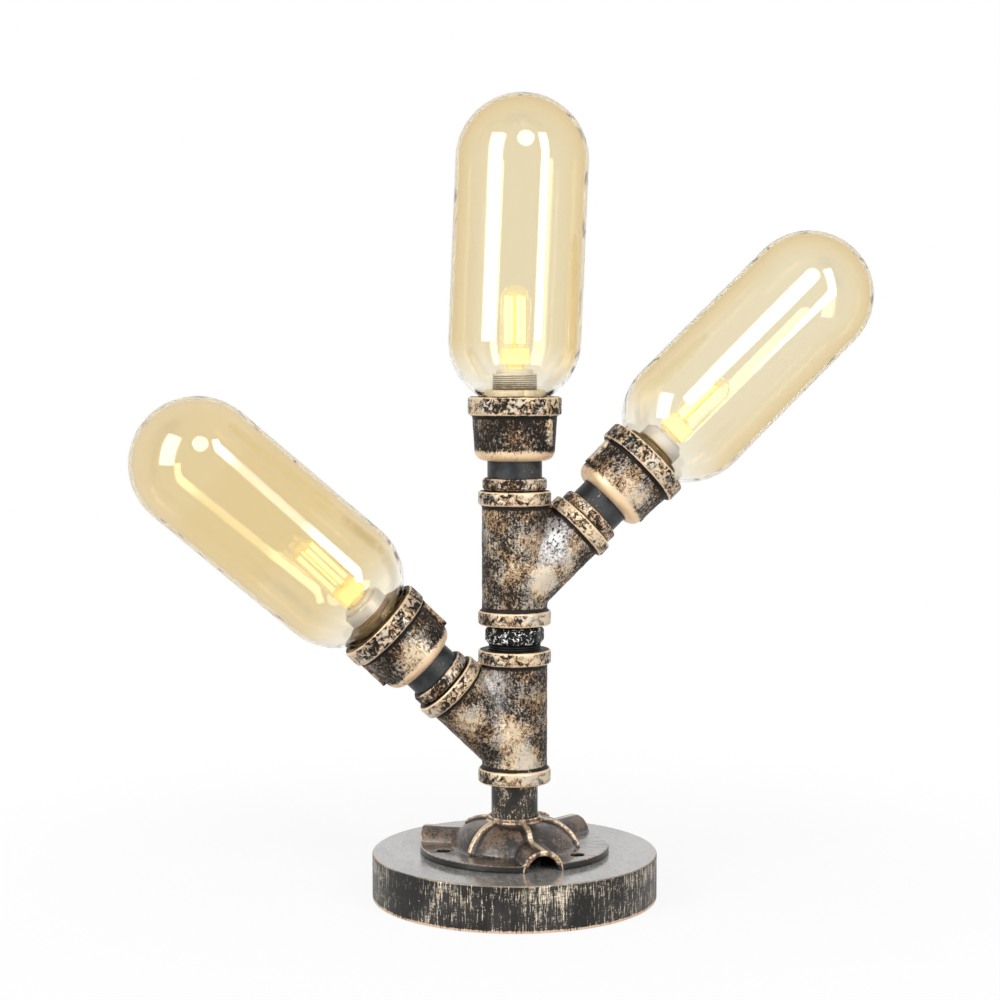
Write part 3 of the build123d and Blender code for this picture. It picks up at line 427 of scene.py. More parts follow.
def tube(name: str, route: Sequence[Vector], radius: float, place: Placement) -> Mesh:
    """Draw a round wire along a route of points in a placement's frame, with domed ends."""
    line = bpy.data.curves.new(name, "CURVE")
    line.dimensions = "3D"
    line.bevel_depth = radius * MM
    line.bevel_resolution = 4
    line.use_fill_caps = True
    line.resolution_u = 6
    spline = line.splines.new("NURBS")
    spline.points.add(len(route) - 1)
    for point, where in zip(spline.points, route):
        point.co = (*(place.matrix() @ where), 1)
    spline.order_u = 3
    spline.use_endpoint_u = True
    mesh = shaped(linked(name, line))
    bpy.data.curves.remove(line)
    return finished(mesh, 40)


def ramp(value: float, start: float, length: float) -> float:
    """Return 0 up to a start and 1 from a length beyond it, with an even rise between."""
    return min(max((value - start) / length, 0), 1)


@dataclass(frozen=True)
class Casting:
    """How a CAD solid becomes a sand casting: soft edges and a slightly uneven skin."""

    voxel: float = 0.55
    softening: int = 3
    unevenness: float = 0.16
    hump: float = 4.5
    grain: float = 0.05
    grain_size: float = 1.3

    def mould(self, node: str, kept: Callable[[Vector], float]) -> Mesh:
        """Copy a node's solid and roughen the copy.

        Args:
            node: The CAD node.
            kept: Share of the unevenness, 0 to 1, at a point in the row frame's millimetres.

        Returns:
            The casting's mesh, in the row frame.
        """
        block = bmesh.new()
        block.from_mesh(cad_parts[node].data)
        bmesh.ops.remove_doubles(block, verts=block.verts, dist=WELD)
        blank = bpy.data.meshes.new(node)
        block.to_mesh(blank)
        block.free()
        holder = linked(node + "_blank", blank)
        skin = holder.modifiers.new("skin", "REMESH")
        skin.mode = "VOXEL"
        skin.voxel_size = self.voxel * MM
        rounding = holder.modifiers.new("rounding", "SMOOTH")
        rounding.factor = 0.5
        rounding.iterations = self.softening
        mesh = shaped(holder)
        normals = [vertex.normal.copy() for vertex in mesh.vertices]
        for vertex, normal in zip(mesh.vertices, normals):
            point = vertex.co / MM
            swell = noise.noise(point / self.hump) * self.unevenness
            swell += noise.noise(point / self.grain_size) * self.grain
            vertex.co += normal * (swell - self.unevenness / 2) * kept(point) * MM
        mesh.shade_smooth()
        return mesh


# ---------------------------------------------------------------------- finishes
@dataclass(frozen=True)
class Bead:
    """A raised ring on a casting: where its axis runs and what it covers along it."""

    start: float
    end: float
    radius: float
    axis: tuple[float, ...] = (0, 0, 1)
    origin: tuple[float, ...] = (0, 0, 0)

    def masks(self, graph: Graph, point: Signal) -> tuple[Signal, Signal, Signal]:
        """Return the masks of the bead's face, of its rubbed edges and of the painted shade in the creases
        beside it.
        """
        moved = graph.vector("SUBTRACT", point, self.origin)
        height = graph.along(moved, self.axis)
        reach = graph.reach(moved, self.axis)
        outside = reach.step(self.radius - 1.6, self.radius - 0.7)
        near = 1 - reach.step(self.radius + 0.6, self.radius + 1.4)
        face = height.window(self.start, self.end, 0.25) * outside * near
        low = height.window(self.start - 0.4, self.start + 0.7, 0.35)
        high = height.window(self.end - 0.7, self.end + 0.4, 0.35)
        edge = (low | high) * reach.step(self.radius - 1.2, self.radius - 0.4) * near
        beside = height.window(self.start - 1.5, self.end + 1.5, 0.6) * near
        return face, edge, beside * (1 - outside) * reach.step(self.radius - 4.2, self.radius - 3.4)


@dataclass(frozen=True)
class Patch:
    """A round place on a casting, in the finish's frame, where the paint differs."""

    x: float
    y: float
    z: float
    size: float
    cover: float

    def mask(self, graph: Graph, point: Signal) -> Signal:
        """Return 1 in the middle of the place and 0 from its size outwards."""
        away = graph.vector("DISTANCE", point, (self.x, self.y, self.z), 1)
        return 1 - away.step(self.size * 0.25, self.size)


@dataclass(frozen=True)
class CastBronze:
    """Black casting whose skin is dry-brushed with gold paint, thickest on its raised rings.

    A level over the surface says how much gold is on it: below 0 the black ground shows, from 0
    upwards the gold lies thicker and paler.
    """

    place: Placement
    beads: tuple[Bead, ...] = ()
    body_cover: float = -0.03
    bead_cover: float = 0.50
    edge_cover: float = 1.1
    crease_shade: float = 1.3
    gold: Colour = ANTIQUE_GOLD
    pale: Colour = CREAM_GOLD
    edge_gold: Colour = EDGE_GOLD
    ground: Colour = BROWN_BLACK
    dapple: float = 0.72
    dapple_per_mm: float = 0.70
    drift: float = 0.34
    streaks: float = 0.25
    softness: float = 0.16
    wear_and_highlight: tuple[Patch, ...] = ()
    polished_highlights: tuple[Patch, ...] = ()
    foot: Triple | None = None
    mouth: float | None = None
    mouth_floor: float = 36.0

    def material(self, name: str) -> Material:
        """Return the finish as a material."""
        graph = Graph(bpy.data.materials.new(name))
        point = graph.local(self.place)
        spots = graph.swing(point, self.dapple_per_mm, 4, 0.62, distortion=0.9)
        chips = graph.swing(point, 0.36, 3, 0.62, distortion=1.2)
        stroke = graph.swing(point, self.dapple_per_mm * 1.8, 3, 0.6, (1, 1, 0.2))
        broad = graph.swing(point, 0.075, 3, 0.5)
        tone = graph.swing(point, 0.11, 2, 0.5, (1, 1.3, 0.8))
        speck = graph.swing(point, 2.2, 3, 0.6)
        cracks = 1 - abs(graph.swing(point, 0.42, 3, 0.6, distortion=1.3)).step(0.02, 0.24)
        # The creases beside the beads carry painted shade: less gold there.
        face, edge, crease_shade = self._beads(graph, point)
        polished_highlight = self._places(graph, point, self.polished_highlights)
        grain = spots * (1 - self.streaks) + stroke * self.streaks
        grain = grain * (1 - face * 0.75) + chips * face * 1.35 + speck * 0.18
        cover = face * (self.bead_cover - self.body_cover) + edge * self.edge_cover
        # Patches of extra gold: rubbed wear, and on the fronts a painted highlight.
        cover = cover + self._places(graph, point, self.wear_and_highlight) - crease_shade * self.crease_shade + self.body_cover
        cover = cover - cracks * 0.45 * (1 - edge)
        rubbed = edge
        if self.foot is not None:
            foot = 1 - graph.part(point, "Z").step(*self.foot[:2])
            cover, rubbed = cover + foot * self.foot[2], rubbed | foot
        if self.mouth is not None:
            inside = 1 - graph.reach(point).step(self.mouth - 0.3, self.mouth)
            above = graph.part(point, "Z").step(self.mouth_floor, self.mouth_floor + 1)
            cover = cover + inside * above * 1.2
        level = grain * self.dapple + broad * self.drift * (face * 0.5 + 1) + cover
        brushed = level.step(-self.softness, self.softness)
        thick = (level + speck * 0.15).step(0.0, 0.85)
        gold = graph.blend(thick, self.gold, self.pale)
        grey = tone.step(-0.2, 0.6) * 0.6 * (1 - rubbed)
        gold = graph.blend(grey, gold, graph.blend(thick, STEEL_GREY, PEWTER))
        gold = graph.blend((0 - tone).step(0.1, 0.6) * (1 - thick) * 0.7, gold, COPPER_GOLD)
        gold = graph.blend(rubbed * thick, gold, self.edge_gold)
        under = graph.blend(level.step(-0.6, -0.1), self.ground, RUST_BROWN)
        colour = graph.blend(brushed, under, gold)
        # Polished patches near the crotch: bare metal with a painted highlight, in pale steel.
        polished_highlight = polished_highlight * (level + spots * 0.4).step(-1.1, 0.1)
        steel = graph.blend(thick * 0.4 + polished_highlight * 0.6, STEEL_GREY, HIGHLIGHT_STEEL)
        colour = graph.blend(polished_highlight * 0.85, colour, steel)
        bare = brushed | polished_highlight
        height = level.step(-0.8, 0.8) * (1 - polished_highlight * 0.7) + speck * 0.05
        return graph.surface(
            Base_Color=colour,
            Metallic=bare * 0.45,
            Roughness=0.50 - bare * 0.14 + speck * 0.06 - polished_highlight * 0.06,
            Specular_IOR_Level=PAINT_GLOSS,
            Normal=graph.bump(height, 0.32, 0.9),
        )

    def _beads(self, graph: Graph, point: Signal) -> tuple[Signal, ...]:
        """Return the masks of all the beads' faces, of their edges and of the painted shade in the creases
        beside them.
        """
        masks = [graph.nowhere(point) for _ in range(3)]
        for bead in self.beads:
            masks = [whole | one for whole, one in zip(masks, bead.masks(graph, point))]
        face, edge, crease_shade = masks
        return face, edge, crease_shade * (1 - face)

    @staticmethod
    def _places(graph: Graph, point: Signal, patches: Sequence[Patch]) -> Signal:
        """Return the sum of some patches' masks, each as strong as its cover says."""
        total = graph.nowhere(point)
        for patch in patches:
            total = total + patch.mask(graph, point) * patch.cover
        return total


@dataclass(frozen=True)
class PipePaint:
    """Satin black paint on a smooth pipe, scratched along and round with flecks of gold."""

    place: Placement
    ground: Colour = BLUE_BLACK
    flecks: float = -0.9
    fleck_colour: Colour = ANTIQUE_GOLD

    def material(self, name: str) -> Material:
        """Return the finish as a material."""
        graph = Graph(bpy.data.materials.new(name))
        point = graph.local(self.place)
        fine = graph.swing(point, 1.2, 4, 0.6, distortion=0.8)
        scratch = graph.swing(point, 1.4, 3, 0.6, (1, 1, 0.2))
        broad = graph.swing(point, 0.10, 2, 0.5)
        level = fine * 0.5 + scratch * 0.4 + broad * 0.5 + self.flecks
        fleck = level.step(-0.10, 0.12)
        colour = graph.blend(broad.step(-0.6, 0.6), self.ground, tinted(self.ground, 2.4))
        colour = graph.blend(level.step(-0.9, 0.0) * 0.6, colour, RUST_BROWN)
        colour = graph.blend(fleck, colour, graph.blend(level.step(0, 0.5), self.fleck_colour, PEWTER))
        return graph.surface(
            Base_Color=colour,
            Metallic=fleck * 0.5,
            Roughness=0.40 + fine * 0.05 + fleck * 0.06,
            Specular_IOR_Level=0.24,
            Normal=graph.bump(fine * 0.08 + fleck * 0.3, 0.3, 0.8),
        )


def tinted(colour: Colour, factor: float) -> Colour:
    """Return a colour made lighter or darker by a factor."""
    return (colour[0] * factor, colour[1] * factor, colour[2] * factor, 1.0)


@dataclass(frozen=True)
class FlangePaint:
    """Dark brown satin paint on the floor flange, rubbed to gold along ribs, arches and rim."""

    ribs: tuple[float, ...]
    spurs: tuple[float, ...]
    rib_width: float
    rim: float
    plate_top: float
    hub: Bead
    arch_outer: float
    arch_inner: float

    def material(self, name: str) -> Material:
        """Return the finish as a material."""
        graph = Graph(bpy.data.materials.new(name))
        point = graph.local(UPRIGHT)
        fine = graph.swing(point, 0.8, 4, 0.62, distortion=0.6)
        broad = graph.swing(point, 0.10, 3, 0.55)
        height = graph.part(point, "Z")
        reach = graph.reach(point)
        dome = height.step(self.plate_top + 0.6, self.plate_top + 1.6)
        wear, crease_shade = self._ribs(graph, point)
        wear = wear * dome | self._arches(graph, point, height, reach)
        hub_face, hub_edge, hub_crease_shade = self.hub.masks(graph, point)
        rim = reach.window(self.rim - 0.7, self.rim + 1, 0.25)
        rim = rim * height.step(self.plate_top - 0.6, self.plate_top)
        wear = wear | hub_edge | hub_face * 0.5 | rim * 0.75
        # The feet of the ribs and the crease round the hub carry painted shade.
        level = fine * 0.34 + broad * 0.30 + wear * 1.5 - 0.80 - crease_shade * dome * 0.9 - hub_crease_shade * 0.3
        brushed = level.step(-0.12, 0.14)
        thick = (level + fine * 0.3).step(0.05, 0.75)
        gold = graph.blend(thick, COPPER_GOLD, CREAM_GOLD)
        brown = (level + fine * 0.2 + broad * 0.4).step(-1.2, -0.2)
        ground = graph.blend(brown, BROWN_BLACK, paint(0.15, 0.10, 0.07))
        ground = graph.blend(height.step(self.plate_top - 0.5, self.plate_top - 0.1), BLACK_PAINT, ground)
        plate = (1 - dome) * height.step(self.plate_top - 0.3, self.plate_top - 0.1)
        return graph.surface(
            Base_Color=graph.blend(brushed, ground, gold),
            Metallic=brushed * 0.6,
            Roughness=0.36 - plate * 0.14 + fine * 0.05 + brushed * 0.05,
            Specular_IOR_Level=0.4,
            Coat_Weight=plate * 0.7 + 0.3,
            Coat_Roughness=0.16,
            Normal=graph.bump(fine * 0.12 + brushed * 0.3, 0.35, 0.7),
        )

    def _ribs(self, graph: Graph, point: Signal) -> tuple[Signal, Signal]:
        """Return the masks of the ribs' tops and of the painted shade in dark lines where they meet the dome.
        """
        tops, foot_shade = graph.nowhere(point), graph.nowhere(point)
        half = self.rib_width / 2
        for turn in self.ribs + self.spurs:
            beside = self._beside(graph, point, turn)
            tops = tops | (1 - beside.step(half - 0.3, half + 0.3))
            foot_shade = foot_shade | beside.window(half + 0.6, half + 2.6, 0.4)
        return tops, foot_shade * (1 - tops)

    def _arches(self, graph: Graph, point: Signal, height: Signal, reach: Signal) -> Signal:
        """Return the mask of the half-round channels' mouths and of their backs near the rim."""
        arches = graph.nowhere(point)
        mouth = reach.step(self.rim - 1.2, self.rim - 0.5)
        back = reach.step(self.rim - 9, self.rim - 2) * 0.3
        for turn in self.spurs:
            side = self._beside(graph, point, turn)
            lift = height - (self.plate_top - 3.3)
            flat = graph.add("CombineXYZ", None, {0: side, 1: lift})
            bow = graph.vector("LENGTH", flat, (0, 0, 0), 1)
            arches = arches | bow.window(self.arch_inner, self.arch_outer - 1.0, 0.3) * mouth * 0.2
            arches = arches | bow.window(self.arch_outer - 1.2, self.arch_outer - 0.3, 0.2) * mouth
            arches = arches | bow.window(self.arch_outer - 0.9, self.arch_outer + 0.4, 0.4) * back
        return arches

    @staticmethod
    def _beside(graph: Graph, point: Signal, turn: float) -> Signal:
        """Return the distance from the upright plane that runs outwards at an angle."""
        angle = math.radians(turn)
        ahead = graph.along(point, (math.cos(angle), math.sin(angle), 0)).step(0.0, 1.0)
        across = abs(graph.along(point, (-math.sin(angle), math.cos(angle), 0)))
        return across + (1 - ahead) * 100


@dataclass(frozen=True)
class BasePaint:
    """Satin brown-black paint on the base, its side scratched upright through to gold, its top lightened to
    grey as a painted sheen.
    """

    radius: float
    top: float
    foot: float

    def material(self, name: str) -> Material:
        """Return the finish as a material."""
        graph = Graph(bpy.data.materials.new(name))
        point = graph.local(UPRIGHT)
        height = graph.part(point, "Z")
        reach = graph.reach(point)
        scratch = graph.swing(point, 1.15, 4, 0.68, (1, 1, 0.05))
        second = graph.swing(point, 2.4, 3, 0.6, (1, 1, 0.09))
        hatch = graph.swing(point, 1.5, 2, 0.5, (0.25, 0.25, 1))
        fine = graph.swing(point, 1.8, 4, 0.6)
        broad = graph.swing(point, 0.05, 3, 0.55, (1, 1, 0.5))
        side = reach.step(self.radius - 0.9, self.radius - 0.25)
        upper = height.window(self.top - 7.5, self.top - 1.0, 2.5)
        foot_line = 1 - height.step(self.foot + 0.7, self.foot + 1.5)
        lip = reach.window(self.radius - 1.0, self.radius + 1, 0.3)
        lip = lip * height.step(self.top - 0.7, self.top - 0.2)
        level = scratch * 0.46 + second * 0.46 + broad * 0.32 + hatch * 0.18 + fine * 0.08
        level = level + upper * 0.26 + foot_line * 0.9 - 0.44
        brushed = level.step(-0.06, 0.09) * side
        brushed = brushed | ((fine * 0.3 + broad * 0.7).step(-0.9, -0.2) * lip)
        thick = (level + fine * 0.2).step(0.0, 0.6)
        gold = graph.blend(thick, paint(0.36, 0.29, 0.21), paint(0.80, 0.72, 0.58))
        gold = graph.blend(foot_line * 0.8, gold, paint(0.62, 0.41, 0.27))
        rub = graph.swing(point, 0.5, 4, 0.6, (1, 0.3, 1))
        wear_and_highlight = (rub * 0.6 + broad * 0.4).step(-0.6, 0.6)
        # Painted sheen: the top is mid grey, far lighter than the near-black side; its mottle mixes wear and
        # sheen.
        deck_sheen = graph.blend(wear_and_highlight, paint(0.17, 0.158, 0.144), paint(0.29, 0.28, 0.27))
        wall = graph.blend(broad.step(-0.5, 0.5), paint(0.016, 0.015, 0.014), paint(0.034, 0.033, 0.032))
        ground = graph.blend(side, deck_sheen, wall)
        return graph.surface(
            Base_Color=graph.blend(brushed, ground, gold),
            Metallic=brushed * 0.55,
            Roughness=0.22 + side * 0.2 + fine * 0.03 + rub * 0.02,
            Specular_IOR_Level=0.22,
            Coat_Weight=1 - side,
            Coat_Roughness=0.13,
            Normal=graph.bump((scratch * 0.13 + second * 0.06) * side + fine * 0.03, 0.25, 0.7),
        )


@dataclass(frozen=True)
class BlownGlass:
    """Clear or amber glass, deeper in colour where it is seen edge-on and paler near its neck.

    Shadow rays pass it, so that what it holds is lit. Dull is a stretch along the glass, from a
    start to an end, and how much of its gloss it loses.
    """

    tint: Colour
    edge: Colour
    rim: Colour
    shade: Colour
    coat: float = 1.0
    coat_index: float = 1.65
    index: float = 1.12
    radius: float = 0.0
    straight: float = 0.0
    neck: tuple[float, float] | None = None
    dull: Triple | None = None
    glow: Colour = paint(0, 0, 0)
    glow_strength: float = 0.0

    def material(self, name: str, place: Placement = UPRIGHT) -> Material:
        """Return the finish as a material, its neck at the foot of a placement."""
        graph = Graph(bpy.data.materials.new(name))
        point = graph.local(place)
        ripple = graph.noise(point, 0.03, 2, 0.4)
        dust = graph.noise(point, 0.5, 4, 0.6)
        facing = graph.add("LayerWeight", None, {"Blend": 0.5}, "Facing")
        colour = graph.blend(facing.step(0.08, 0.85), self.tint, self.edge)
        colour = graph.blend(facing.step(0.50, 0.74) * self._outer(graph, point), colour, self.rim)
        colour = graph.blend(dust.step(0.3, 0.8) * 0.02, colour, paint(0, 0, 0))
        if self.neck is not None:
            height = graph.part(point, "Z")
            colour = graph.blend(height.step(*self.neck), paint(0.95, 0.93, 0.88), colour)
        gloss = (1 - facing.step(0.35, 0.85)) * self.coat
        if self.dull is not None:
            start, end, loss = self.dull
            gloss = gloss * (1 - graph.part(point, "Z").window(start, end, 6.0) * loss)
        glass = graph.shader(
            Base_Color=colour,
            Roughness=0.0,
            IOR=self.index,
            Transmission_Weight=1.0,
            Coat_Weight=gloss,
            Coat_Roughness=0.01,
            Coat_IOR=self.coat_index,
            Emission_Color=self.glow,
            Emission_Strength=self.glow_strength,
            Normal=graph.bump(ripple, 0.5, 0.28),
        )
        clear = graph.add("BsdfTransparent", None, {"Color": self.shade})
        passing = graph.add("LightPath", output="Is Shadow Ray")
        return graph.output(graph.mixed(passing, glass, clear))

    def _outer(self, graph: Graph, point: Signal) -> Signal:
        """Return 1 on the capsule's outside and 0 on its inside."""
        held = (graph.part(point, "Z") | 0.0).least(self.straight)
        middle = graph.add("CombineXYZ", None, {2: held})
        away = graph.vector("DISTANCE", point, middle, 1)
        return away.step(self.radius - 1.1, self.radius - 0.6)


@dataclass(frozen=True)
class Glow:
    """Lit filament sticks in a yellow phosphor jacket."""

    colour: Colour
    strength: float

    def material(self, name: str) -> Material:
        """Return the finish as a material."""
        graph = Graph(bpy.data.materials.new(name))
        point = graph.local(UPRIGHT)
        bead = graph.noise(point, 0.9, 2, 0.5)
        glow = graph.blend(bead.step(0.3, 0.7), self.colour, tinted(self.colour, 0.86))
        return graph.surface(
            Base_Color=paint(0.9, 0.72, 0.25),
            Roughness=0.5 + (bead - 0.5) * 0.2,
            Emission_Color=glow,
            Emission_Strength=self.strength,
        )


@dataclass(frozen=True)
class Plain:
    """A simple finish: two shades of one colour, an even gloss and a fine grain."""

    colour: Colour
    shade: float = 0.75
    metallic: float = 0.0
    roughness: float = 0.5
    per_mm: float = 1.0
    depth: float = 0.08
    stretch: Triple = (1, 1, 1)
    translucent: float = 0.0
    glow: Colour = paint(1, 1, 1)
    glow_strength: float = 0.0

    def material(self, name: str, place: Placement = UPRIGHT) -> Material:
        """Return the finish as a material, with its grain in a placement's frame."""
        graph = Graph(bpy.data.materials.new(name))
        point = graph.local(place)
        grain = graph.noise(point, self.per_mm, 4, 0.6, self.stretch)
        broad = graph.noise(point, self.per_mm * 0.15, 3, 0.5)
        mix = (grain * 0.5 + broad * 0.5).step(0.40, 0.60)
        return graph.surface(
            Base_Color=graph.blend(mix, tinted(self.colour, self.shade), self.colour),
            Metallic=self.metallic,
            Roughness=self.roughness + (grain - 0.5) * 0.25,
            Transmission_Weight=self.translucent,
            Emission_Color=self.glow,
            Emission_Strength=self.glow_strength,
            Normal=graph.bump(grain, self.depth, 0.7),
        )


ZINC = Plain(paint(0.56, 0.57, 0.58), 0.8, 1.0, 0.34, 0.5, 0.03)
BRASS = Plain(paint(0.78, 0.58, 0.28), 0.8, 1.0, 0.3, 1.2, 0.03)
RAW_IRON = Plain(paint(0.16, 0.155, 0.15), 0.6, 0.8, 0.6, 0.5, 0.3)
FOAM = Plain(paint(0.03, 0.03, 0.032), 0.7, 0.0, 0.9, 1.6, 0.3)
BLACK_PLASTIC = Plain(paint(0.024, 0.024, 0.025), 0.8, 0.0, 0.42, 2.0, 0.04)
WHITE_PLASTIC = Plain(paint(0.8, 0.79, 0.76), 0.92, 0.0, 0.45, 1.5, 0.03)
LEAD_SLEEVE = Plain(paint(0.055, 0.05, 0.05), 0.75, 0.0, 0.6, 2.5, 0.06, (1, 1, 3))
SILICONE = Plain(paint(0.42, 0.35, 0.26), 0.8, 0.0, 0.5, 1.5, 0.05)
SEAT_STEEL = Plain(paint(0.12, 0.11, 0.10), 0.7, 0.9, 0.4, 0.8, 0.05)
# One clamp ring in two painted copies: a darker one with painted shade, a pale one with painted light.
SHADED_CLAMP = Plain(paint(0.20, 0.16, 0.115), 0.6, 0.4, 0.38, 1.2, 0.04)
LIT_CLAMP = Plain(paint(0.80, 0.78, 0.72), 0.85, 0.2, 0.38, 1.2, 0.04)
WIRE_STEEL = Plain(paint(0.80, 0.68, 0.36), 0.85, 0.3, 0.4, 1.2, 0.03)
CERAMIC = Plain(paint(0.50, 0.49, 0.48), 0.85, 0.0, 0.3, 0.8, 0.05)
# The foot's faint glow is painted light from the lit sticks above it.
BULB_FOOT = Plain(
    paint(0.95, 0.84, 0.50), 0.94, 0.0, 0.35, 0.6, 0.03, (1, 1, 1), 0.3, paint(1.0, 0.80, 0.36), 0.18
)
AMBER_GLASS = BlownGlass(
    paint(0.895, 0.825, 0.650),
    paint(0.84, 0.69, 0.40),
    paint(0.72, 0.61, 0.42),
    paint(0.80, 0.68, 0.43),
    radius=32.27,
    straight=86.8,
    neck=(-27.0, 2.0),
)
# One glass in three copies: the left one tinted deeper as painted shade, the right one paler as painted
# light.
SHADED_GLASS = replace(
    AMBER_GLASS, tint=paint(0.88, 0.775, 0.55), edge=paint(0.875, 0.765, 0.55), dull=(30.0, 78.0, 0.7)
)
LIT_GLASS = replace(AMBER_GLASS, tint=paint(0.908, 0.847, 0.69))
# The tube's faint glow is painted light from the sticks inside it.
CLEAR_GLASS = BlownGlass(
    paint(0.99, 0.985, 0.955),
    paint(0.97, 0.95, 0.86),
    paint(0.96, 0.93, 0.82),
    paint(0.95, 0.94, 0.90),
    coat=0.1,
    coat_index=1.5,
    index=1.05,
    glow=paint(1.0, 0.80, 0.22),
    glow_strength=0.05,
)
FILAMENT_GLOW = Glow(paint(1.0, 0.93, 0.54), 1.45)


@dataclass(frozen=True)
class HolderFinish:
    """Finishes of what stands in a cup's mouth; the sleeve's grooves and its thread near the rim carry
    painted shade, darker below a height over the rim.
    """

    clamp: Plain
    gasket: Plain
    ceramic: Plain
    crest: Colour = paint(0.50, 0.49, 0.47)
    groove_shade: Colour = paint(0.10, 0.09, 0.08)
    rim_shade_crest: Colour = paint(0.16, 0.13, 0.10)
    rim_shade_groove: Colour = paint(0.010, 0.008, 0.006)
    change: tuple[float, float] = (2.5, 8.0)
    ragged: float = 1.5
    collar: float = 0.0


# Lit and shaded copies of one set of parts: the upright head gets the pale copy with painted light, the
# leaning heads the darker copy with painted shade.
LIT_HOLDER = HolderFinish(LIT_CLAMP, SILICONE, CERAMIC)
SHADED_HOLDER = HolderFinish(
    SHADED_CLAMP,
    replace(SILICONE, colour=paint(0.12, 0.08, 0.045)),
    replace(CERAMIC, colour=COOL_WHITE),
    crest=COOL_WHITE,
    groove_shade=COOL_WHITE,
    rim_shade_crest=paint(0.36, 0.25, 0.13),
    rim_shade_groove=paint(0.02, 0.012, 0.006),
    change=(5.3, 5.8),
    ragged=0.1,
    collar=5.2,
)


# ---------------------------------------------------------------------- entering pieces
def dress(node: str, material: Material) -> None:
    """Give a CAD node that stays in view its material."""
    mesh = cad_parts[node].data
    mesh.materials.clear()
    mesh.materials.append(material)
    LOG.info("dressed %s in %s", node, material.name)


def enter(
    name: str, mesh: Mesh, body: str, slot: str, material: Material, *nodes: str
) -> bpy.types.Object:
    """Put a mesh into the scene as a piece.

    Args:
        name: The piece's name.
        mesh: Its mesh, in the row frame.
        body: The CAD body that it rides on.
        slot: Not used.
        material: Its material.
        nodes: The CAD nodes that it stands for.

    Returns:
        The piece.
    """
    mesh.materials.clear()
    mesh.materials.append(material)
    piece = linked(name, mesh)
    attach(piece, body)
    if nodes:
        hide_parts(*nodes)
    LOG.info("built %s with %d faces", name, len(mesh.polygons))
    return piece


# ---------------------------------------------------------------------- sub-assemblies
@dataclass(frozen=True)
class WeightedBase:
    """The round base, what it holds, and the floor flange with the column nipple."""

    radius: float = 70.0
    foot: float = 0.4
    top: float = 22.5
    flange_radius: float = 46.5
    flange_plate: float = 3.3
    hub_radius: float = 13.2
    hub_top: float = 40.4
    hub_bead: float = 2.4
    arch_outer: float = 10.4
    arch_inner: float = 7.6
    bore_skin: float = 12.0
    rib_width: float = 2.4
    ribs: tuple[float, ...] = (-144.5, -24.5, 95.5)
    arches: tuple[float, ...] = (-84.5, 35.5, 155.5)
    flange_skin: Casting = Casting(0.5, 2, 0.12, 5.0, 0.03)

    def build(self) -> None:
        """Build and dress the whole sub-assembly."""
        dress("base_shell", BasePaint(self.radius, self.top, self.foot).material("base_finish"))
        self._inside()
        self._flange()
        nipple = PipePaint(UPRIGHT, paint(0.022, 0.021, 0.019), -0.45, CREAM_GOLD)
        dress("column_nipple", nipple.material("dark_pipe_column"))

    def _inside(self) -> None:
        """Dress the pieces under the shell."""
        zinc = ZINC.material("zinc")
        for node in ("bottom_plate", "plate_screws", "column_washer", "column_locknut"):
            dress(node, zinc)
        dress("base_pad", FOAM.material("pad"))
        dress("base_weight", RAW_IRON.material("raw_iron"))
        dress("cord_bushing", BLACK_PLASTIC.material("black_plastic"))
        dress("terminal_block", WHITE_PLASTIC.material("white_plastic"))
        brass = BRASS.material("brass")
        dress("terminal_screws", brass)
        dress("earth_terminal", brass)
        dress("base_leads", LEAD_SLEEVE.material("lead_sleeve_base"))

    def _flange(self) -> None:
        """Cast the floor flange and paint it."""
        plate_top = self.top + self.flange_plate
        hub = Bead(self.hub_top - self.hub_bead, self.hub_top, self.hub_radius)
        sizes = (self.rib_width, self.flange_radius, plate_top, hub, self.arch_outer, self.arch_inner)
        material = FlangePaint(self.ribs, self.arches, *sizes).material("flange_finish")
        mesh = self.flange_skin.mould("floor_flange", self._free)
        enter("flange_casting", mesh, "base", "flange_finish", material, "floor_flange")

    def _free(self, point: Vector) -> float:
        """Return how far the flange's skin may stray: not in its bore or on its underside."""
        return ramp(point.xy.length, self.bore_skin, 1.0) * ramp(point.z, self.top + 0.6, SKIN_FADE)


